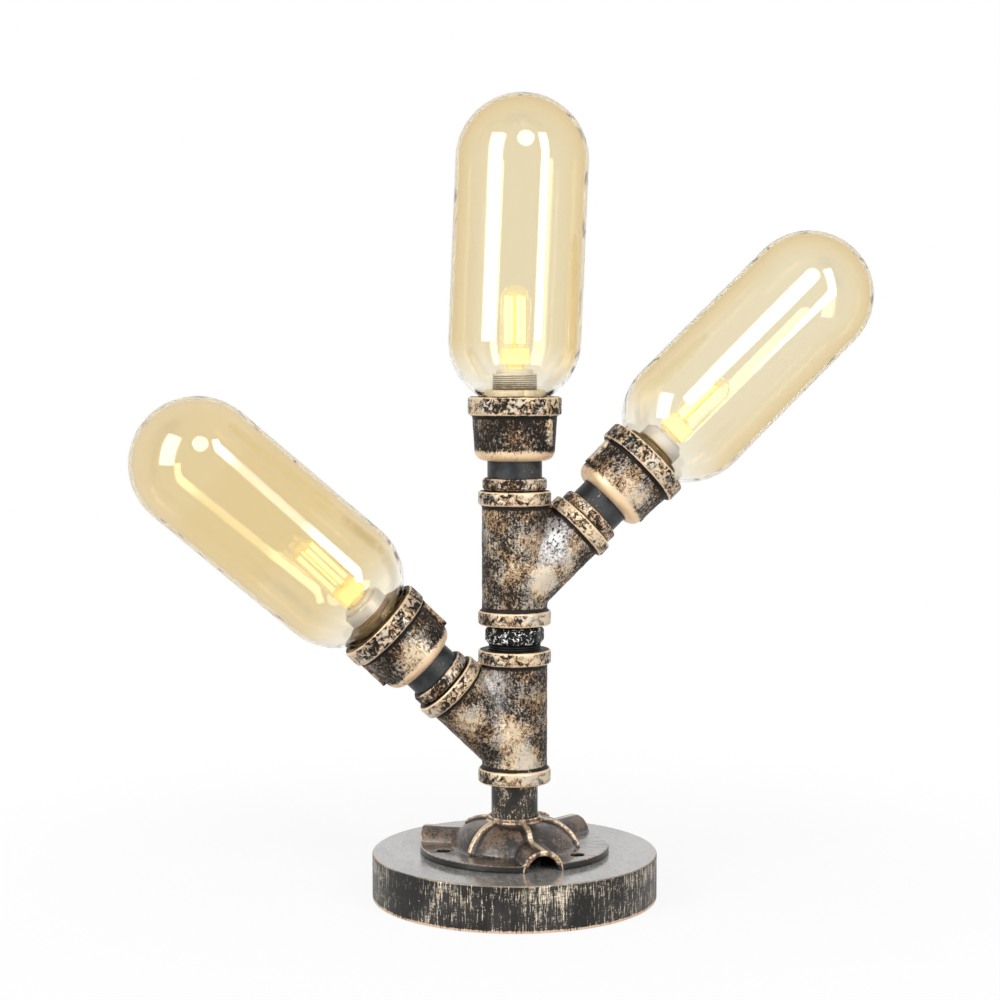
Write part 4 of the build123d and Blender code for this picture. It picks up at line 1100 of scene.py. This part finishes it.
@dataclass(frozen=True)
class PipeArm:
    """One lateral tee of the column, with the pipe that links it to the next."""

    body: str
    node: str
    leads: str
    foot: float
    side: int
    wear_and_highlight: tuple[Patch, ...]
    polished_highlights: tuple[Patch, ...]
    length: float = 65.5
    rise: float = 16.5
    reach: float = 48.3
    angle: float = 44.0
    band_radius: float = 17.9
    band: float = 7.0
    bore_skin: float = 14.0
    face_skin: float = 0.3

    def branch_axis(self) -> Vector:
        """Return the direction of the branch."""
        angle = math.radians(self.angle)
        return Vector((self.side * math.cos(angle), 0, math.sin(angle)))

    def branch_face(self) -> Placement:
        """Return the frame on the branch's open face."""
        axis = self.branch_axis()
        across = Vector((-self.side * axis.z, 0, abs(axis.x)))
        crossing = Vector((0, 0, self.foot + self.rise))
        return Placement(crossing + axis * self.reach, across, axis)

    def top_face(self) -> Placement:
        """Return the frame on the run's upper face."""
        return UPRIGHT.lifted(self.foot + self.length)

    def build(self) -> None:
        """Cast the tee, paint it and dress the leads in it."""
        width, radius = self.band, self.band_radius
        beads = (
            Bead(0, width, radius),
            Bead(self.length - width, self.length, radius),
            Bead(self.reach - width, self.reach, radius, tuple(self.branch_axis()), (0, 0, self.rise)),
        )
        mesh = Casting().mould(self.node, self._free)
        place = UPRIGHT.lifted(self.foot)
        finish = CastBronze(place, beads, wear_and_highlight=self.wear_and_highlight, polished_highlights=self.polished_highlights)
        material = finish.material("aged_bronze_" + self.node)
        enter(self.node + "_casting", mesh, self.body, "aged_bronze", material, self.node)
        dress(self.leads, LEAD_SLEEVE.material("lead_sleeve_" + self.body))

    def _free(self, point: Vector) -> float:
        """Return how far the tee's skin may stray: not in its bores or on its open faces."""
        axis = self.branch_axis()
        centre = Vector((0, 0, self.foot + self.rise))
        run = point.xy.length
        branch = (point - centre).cross(axis).length
        height = point.z - self.foot
        out = (point - centre).dot(axis)
        inner = min(run, branch) if out > 0 else run
        free = ramp(inner, self.bore_skin, 1.0)
        for depth in (height, self.length - height, self.reach - out):
            free *= ramp(depth, self.face_skin, SKIN_FADE)
        return free


@dataclass(frozen=True)
class HexLink:
    """The hexagon nipple between the two tees."""

    hexagon: float = 125.8
    hexagon_top: float = 133.5
    edge: float = 0.5
    bore_skin: float = 12.9
    skin: Casting = Casting(0.4, 2, 0.08, 3.0, 0.03)

    def build(self) -> None:
        """Dress the nipple: speckled hexagon and black threaded necks."""
        mesh = self.skin.mould("hex_nipple", self._free)
        material = self._finish()
        enter("hex_nipple_casting", mesh, "lower_arm", "dark_pipe", material, "hex_nipple")

    def _free(self, point: Vector) -> float:
        """Return how far the skin may stray: only on the hexagon's flanks."""
        on_flank = self.hexagon + self.edge < point.z < self.hexagon_top - self.edge
        return 1.0 if on_flank and point.xy.length > self.bore_skin else 0.0

    def _finish(self) -> Material:
        """Return the material of the whole nipple."""
        graph = Graph(bpy.data.materials.new("dark_pipe_hexagon"))
        point = graph.local(UPRIGHT)
        height = graph.part(point, "Z")
        flakes = graph.swing(point, 0.36, 4, 0.62, (1, 1, 0.8), distortion=1.4)
        fine = graph.swing(point, 1.6, 3, 0.6)
        edge = height.window(self.hexagon - 0.3, self.hexagon + 0.5, 0.3)
        edge = edge | height.window(self.hexagon_top - 0.5, self.hexagon_top + 0.4, 0.3)
        on_hexagon = height.window(self.hexagon, self.hexagon_top, 0.1)
        level = flakes * 0.95 + fine * 0.2 + edge * 0.2 - 0.36
        speckle = level.step(-0.05, 0.10) * on_hexagon
        tone = graph.blend(level.step(0.0, 0.30), paint(0.30, 0.30, 0.29), paint(0.92, 0.91, 0.87))
        ground = graph.blend(on_hexagon, paint(0.004, 0.004, 0.004), paint(0.007, 0.007, 0.007))
        wave = graph.add("Math", {"operation": "PINGPONG"}, {0: height, 1: 0.6})
        relief = speckle * 0.5 + fine * 0.08 + wave * (1 - on_hexagon) * 1.6
        return graph.surface(
            Base_Color=graph.blend(speckle, ground, tone),
            Metallic=speckle * 0.3,
            Roughness=0.45 + fine * 0.05,
            Specular_IOR_Level=PAINT_GLOSS,
            Normal=graph.bump(relief, 0.3, 0.8),
        )


@dataclass(frozen=True)
class LampHead:
    """One lamp head: back nut, nipple, bell cup, glass, sleeve, lampholder and bulb."""

    side: Side
    face: Placement
    lean: float
    rib_turn: float
    body_cover: float
    wear_and_highlight: tuple[Patch, ...]
    glass: BlownGlass
    holder: HolderFinish = SHADED_HOLDER
    rim: float = 45.8
    cup_foot: float = 14.7
    band: float = 9.1
    band_radius: float = 22.9
    rib_radius: float = 21.9
    rib_drops: tuple[float, ...] = (13.0, 17.5, 21.5)
    cup_bore_skin: float = 19.6
    ring_start: float = 0.3
    ring_height: float = 6.0
    ring_radius: float = 15.75
    pipe_radius: float = 13.35
    glass_radius: float = 32.27
    glass_length: float = 151.34
    glass_wall: float = 1.8
    glass_centre: float = 73.1
    glass_hole: float = 12.9
    glass_segments: int = 400
    lip_rounding: tuple[float, ...] = (0.25, 0.35, 0.42)
    sleeve_radius: float = 11.0
    sleeve_wall: float = 1.9
    sleeve_top: float = 57.0
    sleeve_flange: float = 35.7
    sleeve_flange_radius: float = 14.6
    sleeve_flange_height: float = 1.6
    sleeve_foot: float = 30.7
    sleeve_lip: float = 1.4
    thread_row: float = 0.125
    thread_depth: float = 0.42
    bulb_start: float = 69.0
    bulb_radius: float = 7.2
    bulb_wall: float = 0.7
    bulb_length: float = 31.0
    stick_count: int = 4
    stick_circle: float = 4.5
    stick_turn: float = 11.0
    stick_radius: float = 1.0
    stick_length: float = 23.0
    stick_start: float = 71.4
    stem_radius: float = 0.9
    wire_radius: float = 0.22
    nut_skin: Casting = Casting(0.45, 2, 0.10, 4.0, 0.03)
    cup_skin: Casting = Casting(0.5, 3, 0.14, 4.5, 0.04)

    def name(self, piece: str) -> str:
        """Return a piece's or node's name on this head."""
        return f"{self.side.value}_{piece}"

    def put(
        self, piece: str, mesh: Mesh, slot: str, material: Material, *nodes: str
    ) -> None:
        """Enter a mesh as a piece of this head."""
        names = [self.name(node) for node in nodes]
        enter(self.name(piece), mesh, self.side.value + "_head", slot, material, *names)

    def coat(self, node: str, finish: Plain, material: str) -> None:
        """Give a CAD node of this head a finish whose grain follows the head's axis."""
        dress(self.name(node), finish.material(self.name(material), self.face))

    def build(self) -> None:
        """Build and dress the whole head."""
        self._back_nut()
        dress(self.name("nipple"), PipePaint(self.face).material(self.name("dark_pipe")))
        self._cup()
        self._glass()
        self._holder()
        self._bulb()
        dress(self.name("leads"), LEAD_SLEEVE.material(self.name("lead_sleeve")))

    def _back_nut(self) -> None:
        """Cast the back nut against the fitting."""
        bead = Bead(self.ring_start, self.ring_start + self.ring_height, self.ring_radius)
        finish = CastBronze(
            self.face,
            (bead,),
            bead_cover=0.05,
            edge_cover=0.7,
            gold=paint(0.26, 0.17, 0.10),
            pale=paint(0.66, 0.52, 0.37),
            streaks=0.8,
        )
        free = self._outside(self.pipe_radius + 0.8)
        mesh = self.nut_skin.mould(self.name("lock_ring"), free)
        material = finish.material(self.name("aged_bronze_ring"))
        self.put("back_nut", mesh, "aged_bronze", material, "lock_ring")

    def _outside(self, radius: float) -> Callable[[Vector], float]:
        """Return a test that frees only a casting's skin outside a radius about the head's axis."""

        def free(point: Vector) -> float:
            """Return 1 outside the radius and 0 inside, with a short change between."""
            return ramp((point - self.face.origin).cross(self.face.axis).length, radius, SKIN_FADE)

        return free

    def _cup(self) -> None:
        """Cast the bell cup and paint it."""
        bead = Bead(self.rim - self.band, self.rim, self.band_radius)
        ribs = []
        for turn in (self.rib_turn, self.rib_turn + 180):
            angle = math.radians(turn)
            x, y = self.rib_radius * math.cos(angle), self.rib_radius * math.sin(angle)
            ribs += [Patch(x, y, self.rim - drop, 3.6, 0.9) for drop in self.rib_drops]
        finish = CastBronze(
            self.face,
            (bead,),
            body_cover=self.body_cover,
            bead_cover=0.30,
            ground=BLACK_PAINT,
            wear_and_highlight=(*ribs, *self.wear_and_highlight),
            foot=(self.cup_foot + 3.2, self.cup_foot + 6.0, 1.3),
            mouth=self.band_radius - 1.5,
        )
        mesh = self.cup_skin.mould(self.name("cup"), self._outside(self.cup_bore_skin))
        self.put("bell_cup", mesh, "aged_bronze", finish.material(self.name("aged_bronze_cup")), "cup")
        self.coat("seat_disc", SEAT_STEEL, "inner_steel")
        self.coat("seat_gasket", self.holder.gasket, "gasket")

    def _glass(self) -> None:
        """Blow the amber shade: a smooth capsule with a hole rounded in the fire."""
        place = self.face.lifted(self.glass_centre).leaned(self.lean)
        radius, inner = self.glass_radius, self.glass_radius - self.glass_wall
        straight = self.glass_length - 2 * radius
        hole_out = math.degrees(math.acos(self.glass_hole / radius))
        hole_in = math.degrees(math.acos(self.glass_hole / inner))
        outline = arc((0, 0), radius, -hole_out, 0, 28) + dome(straight, radius, inner, 36)
        outline += arc((0, 0), inner, 0, -hole_in, 28)
        lip_out, lip_in = outline[0], outline[-1]
        middle = ((lip_out[0] + lip_in[0]) / 2, (lip_out[1] + lip_in[1]) / 2)
        inwards, along, bulge = self.lip_rounding
        outline += [(lip_in[0] - inwards, lip_in[1] - along), (middle[0] - bulge, middle[1])]
        outline += [(lip_out[0] - inwards, lip_out[1] + along)]
        mesh = lathe(self.name("shade"), outline, place, self.glass_segments, sharp=60)
        material = self.glass.material(self.name("amber_glass"), place)
        self.put("amber_shade", mesh, "amber_glass", material, "glass_shade")

    def _holder(self) -> None:
        """Dress the clamp ring and the ceramic, and turn the threaded sleeve."""
        self.coat("clamp_ring", self.holder.clamp, "clamp")
        self.coat("lamp_holder", self.holder.ceramic, "ceramic")
        outer, flange, lip = self.sleeve_radius, self.sleeve_flange_radius, self.sleeve_lip
        bore = outer - self.sleeve_wall
        foot, middle, top = self.sleeve_foot, self.sleeve_flange, self.sleeve_top
        start, end = self.rim - 2.0, top - 0.8
        rows = int((end - start) / self.thread_row)
        outline: Profile = [(bore - lip, foot), (outer, foot), (outer, middle), (flange, middle)]
        outline += [(flange, middle + self.sleeve_flange_height), (outer, middle + self.sleeve_flange_height)]
        outline += [(outer, start + (end - start) * row / rows) for row in range(rows + 1)]
        outline += [(outer - 0.5, top), (bore + 0.3, top), (bore, top - 0.4)]
        outline += [(bore, foot + lip), (bore - lip, foot + lip)]

        def thread(angle: float, height: float, radius: float) -> float:
            """Return the depth of a rolled thread of 1 mm pitch on the sleeve's outside."""
            if abs(radius - outer) > 0.1 or not start + 0.3 < height < end - self.holder.collar:
                return 0.0
            phase = (height - angle / (2 * math.pi)) % 1.0
            return -self.thread_depth * (0.5 + 0.5 * math.cos(2 * math.pi * phase))

        mesh = lathe(self.name("sleeve"), outline, self.face, 96, thread, 50)
        material = self._sleeve_finish(self.name("sleeve_plastic"))
        self.put("threaded_sleeve", mesh, "sleeve_plastic", material, "holder_sleeve")

    def _sleeve_finish(self, name: str) -> Material:
        """Return the sleeve's finish: pale crests above darker grooves of painted shade, and the thread
        darkened near the cup's rim as painted shade.
        """
        graph = Graph(bpy.data.materials.new(name))
        look = self.holder
        point = graph.local(self.face)
        fine = graph.swing(point, 0.9, 3, 0.6)
        height = graph.part(point, "Z")
        crest = graph.reach(point).step(self.sleeve_radius - 0.36, self.sleeve_radius - 0.10)
        crest = crest | height.step(self.sleeve_top - 1.0, self.sleeve_top - 0.6)
        start, end = look.change
        # Painted shade: the thread darkens towards the cup's rim.
        low = 1 - (height + fine * look.ragged).step(self.rim + start, self.rim + end)
        groove_shade = graph.blend(low, look.groove_shade, look.rim_shade_groove)
        ridge = graph.blend(low, look.crest, look.rim_shade_crest)
        return graph.surface(
            Base_Color=graph.blend(crest, groove_shade, ridge),
            Metallic=crest * 0.3,
            Roughness=0.36 + fine * 0.05,
            Normal=graph.bump(fine, 0.03, 0.6),
        )

    def _bulb(self) -> None:
        """Dress the bulb's foot and build its tube and its lit sticks on their wires."""
        self.coat("bulb_base", BULB_FOOT, "bulb_foot")
        place = self.face.lifted(self.bulb_start)
        radius, inner = self.bulb_radius, self.bulb_radius - self.bulb_wall
        straight = self.bulb_length - radius
        outline: Profile = [(inner, 0.0), (radius, 0.0), (radius, straight / 2)]
        outline += dome(straight, radius, inner, 16) + [(inner, straight / 2)]
        mesh = lathe(self.name("tube"), outline, place, 64, sharp=60)
        material = CLEAR_GLASS.material(self.name("clear_glass"))
        self.put("bulb_tube", mesh, "clear_glass", material, "bulb_glass")
        self._sticks()

    def _sticks(self) -> None:
        """Build the lit sticks and the wires and stem that carry them."""
        start = self.stick_start
        end = start + self.stick_length
        up = Vector((0, 0, 1))
        stem = [up * (self.bulb_start + z) for z in (0.0, 9.0, 18.0, self.stick_length + 3.2)]
        sticks, wires = [], [tube("stem", stem, self.stem_radius, self.face)]
        low = ((0, self.bulb_start + 0.4), (0.5, start - 1.2), (1, start - 0.9), (1, start))
        high = ((1, end), (1, end + 0.9), (0.4, end + 1.3), (0, end + 0.6))
        for index in range(self.stick_count):
            angle = math.radians(360 * index / self.stick_count + self.stick_turn)
            out = Vector((math.cos(angle), math.sin(angle), 0)) * self.stick_circle
            route = [out + up * z for z in (start, start + 1, end - 1, end)]
            sticks.append(tube("stick", route, self.stick_radius, self.face))
            for bends in (low, high):
                route = [out * share + up * z for share, z in bends]
                wires.append(tube("wire", route, self.wire_radius, self.face))
        glow = FILAMENT_GLOW.material(self.name("filament"))
        self.put("lit_sticks", joined("sticks", sticks), "filament", glow, "filaments")
        steel = WIRE_STEEL.material(self.name("filament_wire"), self.face)
        self.put("stick_wires", joined("wires", wires), "zinc", steel)


# ---------------------------------------------------------------------- studio
def aimed(thing: bpy.types.Object, azimuth: float, elevation: float) -> Vector:
    """Turn a lamp or camera so that it looks in from a side of the object.

    Args:
        thing: The lamp or camera.
        azimuth: Degrees round the object from its front towards its right.
        elevation: Degrees up.

    Returns:
        The direction from the object towards the lamp or camera.
    """
    turn, rise = math.radians(azimuth), math.radians(elevation)
    away = Vector((math.sin(turn) * math.cos(rise), -math.cos(turn) * math.cos(rise), math.sin(rise)))
    thing.rotation_euler = (-away).to_track_quat("-Z", "Y").to_euler()
    return away


@dataclass(frozen=True)
class SoftBox:
    """A large soft lamp that faces the lamp from the side."""

    name: str
    azimuth: float
    elevation: float
    distance: float
    width: float
    height: float
    radiance: float
    shape: str = "RECTANGLE"

    def build(self, target: Vector) -> None:
        """Place the soft box round a target."""
        light = bpy.data.lights.new(self.name, "AREA")
        light.shape = self.shape
        light.size = self.width
        light.size_y = self.height
        area = self.width * self.height * (1 if self.shape == "RECTANGLE" else math.pi / 4)
        light.energy = self.radiance * math.pi * area
        lamp = linked(self.name, light)
        lamp.location = target + aimed(lamp, self.azimuth, self.elevation) * self.distance
        LOG.info("placed %s", self.name)


@dataclass(frozen=True)
class Studio:
    """White surroundings, a pale floor, soft boxes and the camera."""

    boxes: tuple[SoftBox, ...]
    target: Triple = (0.0, 0.0, 0.22)
    world_light: float = 0.26
    floor_radius: float = 1.6
    floor_white: float = 0.88
    fade: tuple[float, float] = (90.0, 420.0)
    camera_place: Triple = (-0.2024, -0.9589, 0.2622)
    camera_turn: float = 11.5
    camera_dip: float = 3.89
    lens: float = 72.5

    def build(self) -> None:
        """Build the whole studio."""
        self._world()
        self._floor()
        for box in self.boxes:
            box.build(Vector(self.target))
        self._camera()
        bpy.context.scene.view_settings.view_transform = "Standard"

    @staticmethod
    def _seen(graph: Graph) -> Signal:
        """Return 1 for camera, glossy and transmission rays and 0 for the rest."""
        camera, glossy, through = (
            graph.add("LightPath", output=name)
            for name in ("Is Camera Ray", "Is Glossy Ray", "Is Transmission Ray")
        )
        return camera | glossy | through

    def _world(self) -> None:
        """Make the surroundings white to look at and dimmer as a light."""
        world = bpy.data.worlds.new("studio")
        bpy.context.scene.world = world
        graph = Graph(world)
        dim, white = (
            graph.add("Background", None, {"Strength": strength, "Color": paint(1, 1, 1)})
            for strength in (self.world_light, 1.0)
        )
        graph.output(graph.mixed(self._seen(graph), dim, white), "OutputWorld")

    def _floor(self) -> None:
        """Lay a pale disc that keeps the lamp's shadow and fades into the white."""
        edge, depth, gap = self.floor_radius / MM, 0.3, 0.1
        outline = [(0.0, depth), (edge, depth), (edge, 0.0), (0.0, 0.0)]
        mesh = lathe("floor", outline, UPRIGHT.lifted(-depth - gap), 128)
        graph = Graph(bpy.data.materials.new("floor_paper"))
        reach = graph.reach(graph.local(UPRIGHT))
        fade = reach.step(*self.fade) * (1 - self.floor_white) + self.floor_white
        paper = graph.add("BsdfDiffuse", None, {"Color": paint(0.93, 0.93, 0.93)})
        white = graph.add("Emission", None, {"Strength": 1.0})
        mesh.materials.append(graph.output(graph.mixed(self._seen(graph) * fade, paper, white)))
        linked("floor", mesh)

    def _camera(self) -> None:
        """Set up the camera."""
        lens = bpy.data.cameras.new("camera")
        lens.lens = self.lens
        lens.sensor_width = 36.0
        lens.clip_start = 0.05
        lens.clip_end = 20.0
        camera = linked("camera", lens)
        camera.location = self.camera_place
        aimed(camera, -self.camera_turn, self.camera_dip)
        bpy.context.scene.camera = camera


STUDIO = Studio(
    (
        SoftBox("left_softbox", -59.0, 22.0, 1.35, 0.60, 1.08, 5.6),
        SoftBox("right_softbox", 28.5, 22.0, 1.35, 0.30, 1.08, 9.0),
        SoftBox("front_lamp", -5.0, 37.0, 1.3, 0.60, 0.60, 5.0, "ELLIPSE"),
    )
)
# Extra gold on the fronts of the tees and cups: partly wear, partly a painted highlight where the front
# catches the light.
LOWER_WEAR_AND_HIGHLIGHT = (Patch(0, -16, 11, 13, 0.95), Patch(-6, -15, 27, 15, 0.55), Patch(-26, -12, 34, 12, 0.5))
# Pale steel near the crotch of each tee: polish with a painted highlight.
LOWER_POLISHED_HIGHLIGHTS = (Patch(-12, -10, 51, 11, 0.9), Patch(-9, -12, 40, 8, 0.5))
UPPER_WEAR_AND_HIGHLIGHT = (
    Patch(2, -16, 36, 14, 0.35),
    Patch(12, -14, 22, 11, 1.3),
    Patch(22, -12, 33, 10, 0.8),
    Patch(32, -10, 44, 13, 0.5),
)
UPPER_POLISHED_HIGHLIGHTS = (Patch(16, -14, 37, 11, 1.0), Patch(19, -12, 47, 11, 0.9))
LEFT_WEAR_AND_HIGHLIGHT = (Patch(3, -21, 26, 12, 0.8), Patch(-8, -20, 22, 9, 0.4))
RIGHT_WEAR_AND_HIGHLIGHT = (Patch(-4, 21, 24, 12, 0.7), Patch(6, 20, 30, 8, 0.3))


def main() -> None:
    """Build the lamp from its base up, then the studio."""
    logging.basicConfig(level=logging.INFO, format="%(name)s: %(message)s")
    lower = PipeArm("lower_arm", "lower_tee", "lower_leads", 57.0, -1, LOWER_WEAR_AND_HIGHLIGHT, LOWER_POLISHED_HIGHLIGHTS)
    upper = PipeArm("upper_arm", "upper_tee", "upper_leads", 134.7, 1, UPPER_WEAR_AND_HIGHLIGHT, UPPER_POLISHED_HIGHLIGHTS)
    left = LampHead(Side.LEFT, lower.branch_face(), -3.2, -10.0, -0.15, LEFT_WEAR_AND_HIGHLIGHT, SHADED_GLASS)
    right = LampHead(Side.RIGHT, upper.branch_face(), 0.0, 12.0, 0.0, RIGHT_WEAR_AND_HIGHLIGHT, LIT_GLASS)
    top = LampHead(Side.TOP, upper.top_face(), 2.4, -48.5, -0.26, (), AMBER_GLASS, LIT_HOLDER)
    for assembly in (WeightedBase(), lower, HexLink(), upper, left, right, top, STUDIO):
        assembly.build()


if __name__ == "__main__":
    main()
